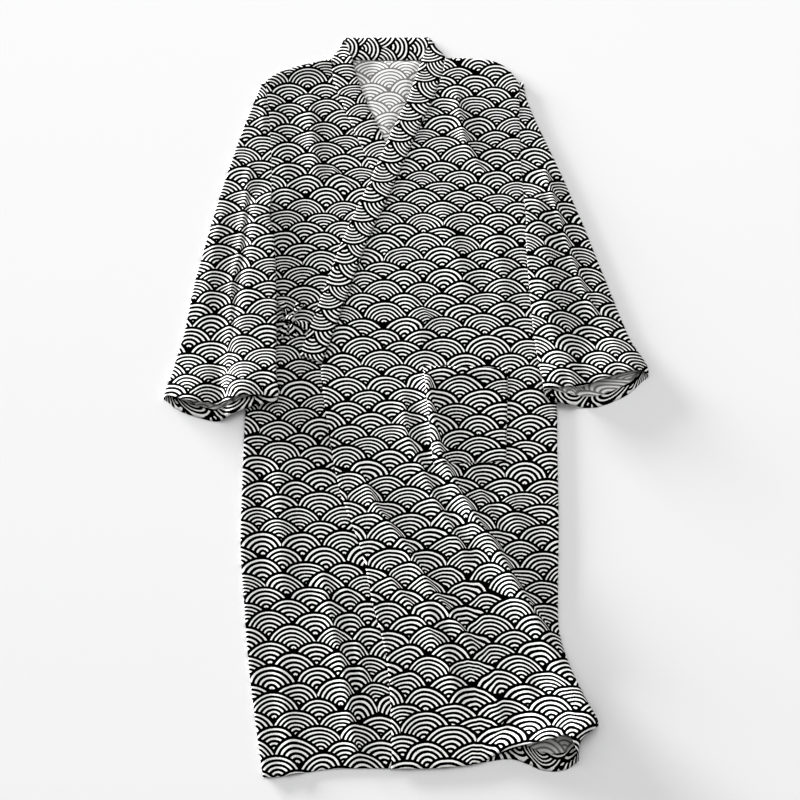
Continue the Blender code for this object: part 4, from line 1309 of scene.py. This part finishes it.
def make_stitches(name, points, sign, lines):
    """Stitches on a grid's printed side; each line takes places and normals from it.

    Underneath, the robe's weight presses them flat.
    """
    normal = outward(points, sign)
    outside = points + normal * CLOTH / 2
    corners = np.concatenate([stitch_row(line(outside), line(normal)) for line in lines])
    corners[..., 2] = np.maximum(corners[..., 2], 0.0)
    faces = (STITCH_FACES[None] + 6 * np.arange(len(corners))[:, None, None]).reshape(-1, 3)
    mesh = bpy.data.meshes.new(name)
    mesh.from_pydata(((corners.reshape(-1, 3) - CENTRE) * MM).tolist(), [], faces.tolist())
    mesh.materials.append(thread)
    print(f"{name}: {len(corners)} stitches")
    return add_object(name, mesh)


def hem_line(rows_back):
    return lambda grid: grid[-1 - rows_back]


OVERLAP_INSET = 2
BAND_INSET = 0.35
POCKET_HEM_ROW = 5
BELOW_BAND = 4
NeckTack = namedtuple("NeckTack", "x top low")
NECK_TACK = NeckTack(-18.0, 596.0, 583.0)
overlap_from = int(np.argmax(left_places[:, 0, 1] < OVER_SEAM[0][0] - BELOW_BAND))
tack_column = int(np.argmin(np.abs(back_places[100, :, 0] - NECK_TACK.x)))
tack_y = back_places[:, tack_column, 1]
tack_rows = (tack_y < NECK_TACK.top) & (tack_y > NECK_TACK.low)
thread = thread_material()
stitches = {
    left_front: make_stitches("Left_front_stitches", left_places, -1, (
        hem_line(HEM_ROWS), lambda grid: grid[overlap_from:, OVERLAP_INSET])),
    right_front: make_stitches("Right_front_stitches", right_places, -1, (
        hem_line(HEM_ROWS),)),
    right_sleeve: make_stitches("Right_sleeve_stitches", sleeve_grids[0], 1, (
        hem_line(CUFF_ROWS),)),
    left_sleeve: make_stitches("Left_sleeve_stitches", sleeve_grids[1], -1, (
        hem_line(CUFF_ROWS),)),
    back: make_stitches("Back_stitches", back_places, -1, (
        hem_line(HEM_ROWS), lambda grid: grid[tack_rows, tack_column])),
    band: make_stitches("Collar_band_stitches", band_grid, -1, (
        lambda grid: mix(grid[:, 0], grid[:, 1], BAND_INSET),)),
    pocket: make_stitches("Patch_pocket_stitches", pocket_grid, -1, (
        lambda grid: mix(grid[:, 0], grid[:, 1], 0.5), lambda grid: mix(grid[-2], grid[-1], 0.5),
        lambda grid: mix(grid[:, -2], grid[:, -1], 0.5), lambda grid: grid[POCKET_HEM_ROW])),
}

# %% [markdown]
# Every piece now takes the place of its plain solid and rides on it. A table gives each sheet the
# size that it would have cut out and laid flat.

# %% Join the pieces to their solids
RIDES = (
    (back, "back_panel"), (right_front, "right_front"), (left_front, "left_front"),
    (right_sleeve, "right_sleeve"), (left_sleeve, "left_sleeve"), (band, "collar_band"),
    (pocket, "patch_pocket"), (knot, "tie_knot"),
    *((tape, name.lower()) for name, tape in tie_parts.items()),
)
for piece, node in RIDES:
    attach(piece, "root")
    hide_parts(node)
for row in stitches.values():
    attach(row, "root")
Cut = namedtuple("Cut", "piece width length held rests_on area")
CUTS = (
    Cut(back, 0.50, 1.26, "laid", (), 0.595),
    Cut(right_front, 0.37, 1.26, "laid", (back,), 0.34),
    Cut(left_front, 0.39, 1.26, "laid", (back, right_front), 0.36),
    Cut(right_sleeve, 0.39, 0.63, "folded", (back,), 0.14),
    Cut(left_sleeve, 0.39, 0.63, "folded", (back,), 0.124),
    Cut(band, 0.08, 1.53, "folded", (left_front, right_front), None),
    Cut(pocket, 0.138, 0.171, "laid", (left_front,), None),
    Cut(tie_parts["Tie_tail_left"], 0.012, 0.024, "laid", (right_front,), 0.0002),
    Cut(tie_parts["Tie_tail_right"], 0.012, 0.028, "laid", (right_front,), 0.0002),
    Cut(tie_parts["Tie_strap_band"], 0.012, 0.026, "laid", (right_front,), 0.0002),
    Cut(tie_parts["Tie_strap_side"], 0.012, 0.019, "laid", (right_front,), 0.0002),
    Cut(tie_parts["Tie_loop_left"], 0.012, 0.050, "folded", (right_front,), 0.0004),
    Cut(tie_parts["Tie_loop_right"], 0.012, 0.050, "folded", (right_front,), 0.0004),
)
for cut in CUTS:
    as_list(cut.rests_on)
print("pieces that took a solid's place:", len(RIDES), "and sheets declared:", len(CUTS))

# %% [markdown]
# The robe is shown on a plain white surface, in soft light from the upper left, so it throws a
# pale shadow to the lower right. A wide window that stands low and far away gives a shadow with a
# soft edge, and lets every crease show. A bright surround and a weak lamp above keep it pale.

# %% The white surface and the light
FLOOR_SIZE = 8.0
FLOOR_DROP = 0.2
FLOOR_WHITE = (0.865, 0.865, 0.867, 1)
SURROUND = 0.645
floor_mesh = bpy.data.meshes.new("Floor")
floor_edges = bmesh.new()
bmesh.ops.create_grid(floor_edges, x_segments=1, y_segments=1, size=FLOOR_SIZE / 2)
floor_edges.to_mesh(floor_mesh)
floor_edges.free()
floor = add_object("Floor", floor_mesh)
floor.location.z = -FLOOR_DROP * MM
paper = bpy.data.materials.new("White surface")
paper.use_nodes = True
paper_shader = paper.node_tree.nodes["Principled BSDF"]
paper_shader.inputs["Base Color"].default_value = FLOOR_WHITE
paper_shader.inputs["Roughness"].default_value = 0.9
paper_shader.inputs["Specular IOR Level"].default_value = 0.1
floor_mesh.materials.append(paper)

world = bpy.data.worlds.new("Studio")
world.use_nodes = True
surround = world.node_tree.nodes["Background"]
surround.inputs["Color"].default_value = (1.0, 1.0, 1.0, 1)
surround.inputs["Strength"].default_value = SURROUND
bpy.context.scene.world = world

Lamp = namedtuple("Lamp", "name place width height power")
LAMPS = (
    Lamp("Window", (-13.0, 10.1, 1.15), 8.5, 1.9, 9800.0),
    Lamp("Ceiling", (0.9, 0.9, 3.8), 3.0, 3.0, 40.0),
)
for lamp in LAMPS:
    light = bpy.data.lights.new(lamp.name, "AREA")
    light.shape = "RECTANGLE"
    light.size = lamp.width
    light.size_y = lamp.height
    light.energy = lamp.power
    lamp_object = add_object(lamp.name, light)
    lamp_object.location = lamp.place
    lamp_object.rotation_euler = (-Vector(lamp.place)).to_track_quat("-Z", "Y").to_euler()
print("lamps:", [lamp.name for lamp in LAMPS])

# %% [markdown]
# The camera stands at the hem's side and looks down at 68 degrees, from a good two metres. From
# there the robe narrows a little towards the collar. A tone curve then gives the picture the deep
# blacks of dyed cotton and keeps the white surface clean.

# %% The camera and the tones
CAMERA_PLACE = (-0.0107, -1.0037, 2.3663)
CAMERA_HEIGHT_ANGLE = 68.0
SENSOR = 36.0
FOCAL_PIXELS = 1576.0
PICTURE_WIDTH = 800.0
Tone = namedtuple("Tone", "given shown")
TONES = (Tone(0.025, 0.0), Tone(0.22, 0.11), Tone(0.45, 0.28), Tone(0.75, 0.70))
camera_data = bpy.data.cameras.new("Camera")
camera_data.sensor_width = SENSOR
camera_data.lens = SENSOR * FOCAL_PIXELS / PICTURE_WIDTH
camera = add_object("Camera", camera_data)
camera.location = CAMERA_PLACE
camera.rotation_euler = (math.radians(90.0 - CAMERA_HEIGHT_ANGLE), 0.0, 0.0)
bpy.context.scene.camera = camera
view = bpy.context.scene.view_settings
view.view_transform = "Standard"
view.use_curve_mapping = True
for tone in TONES:
    view.curve_mapping.curves[3].points.new(tone.given, tone.shown)
view.curve_mapping.update()
print("focal length:", round(camera_data.lens, 1), "mm")
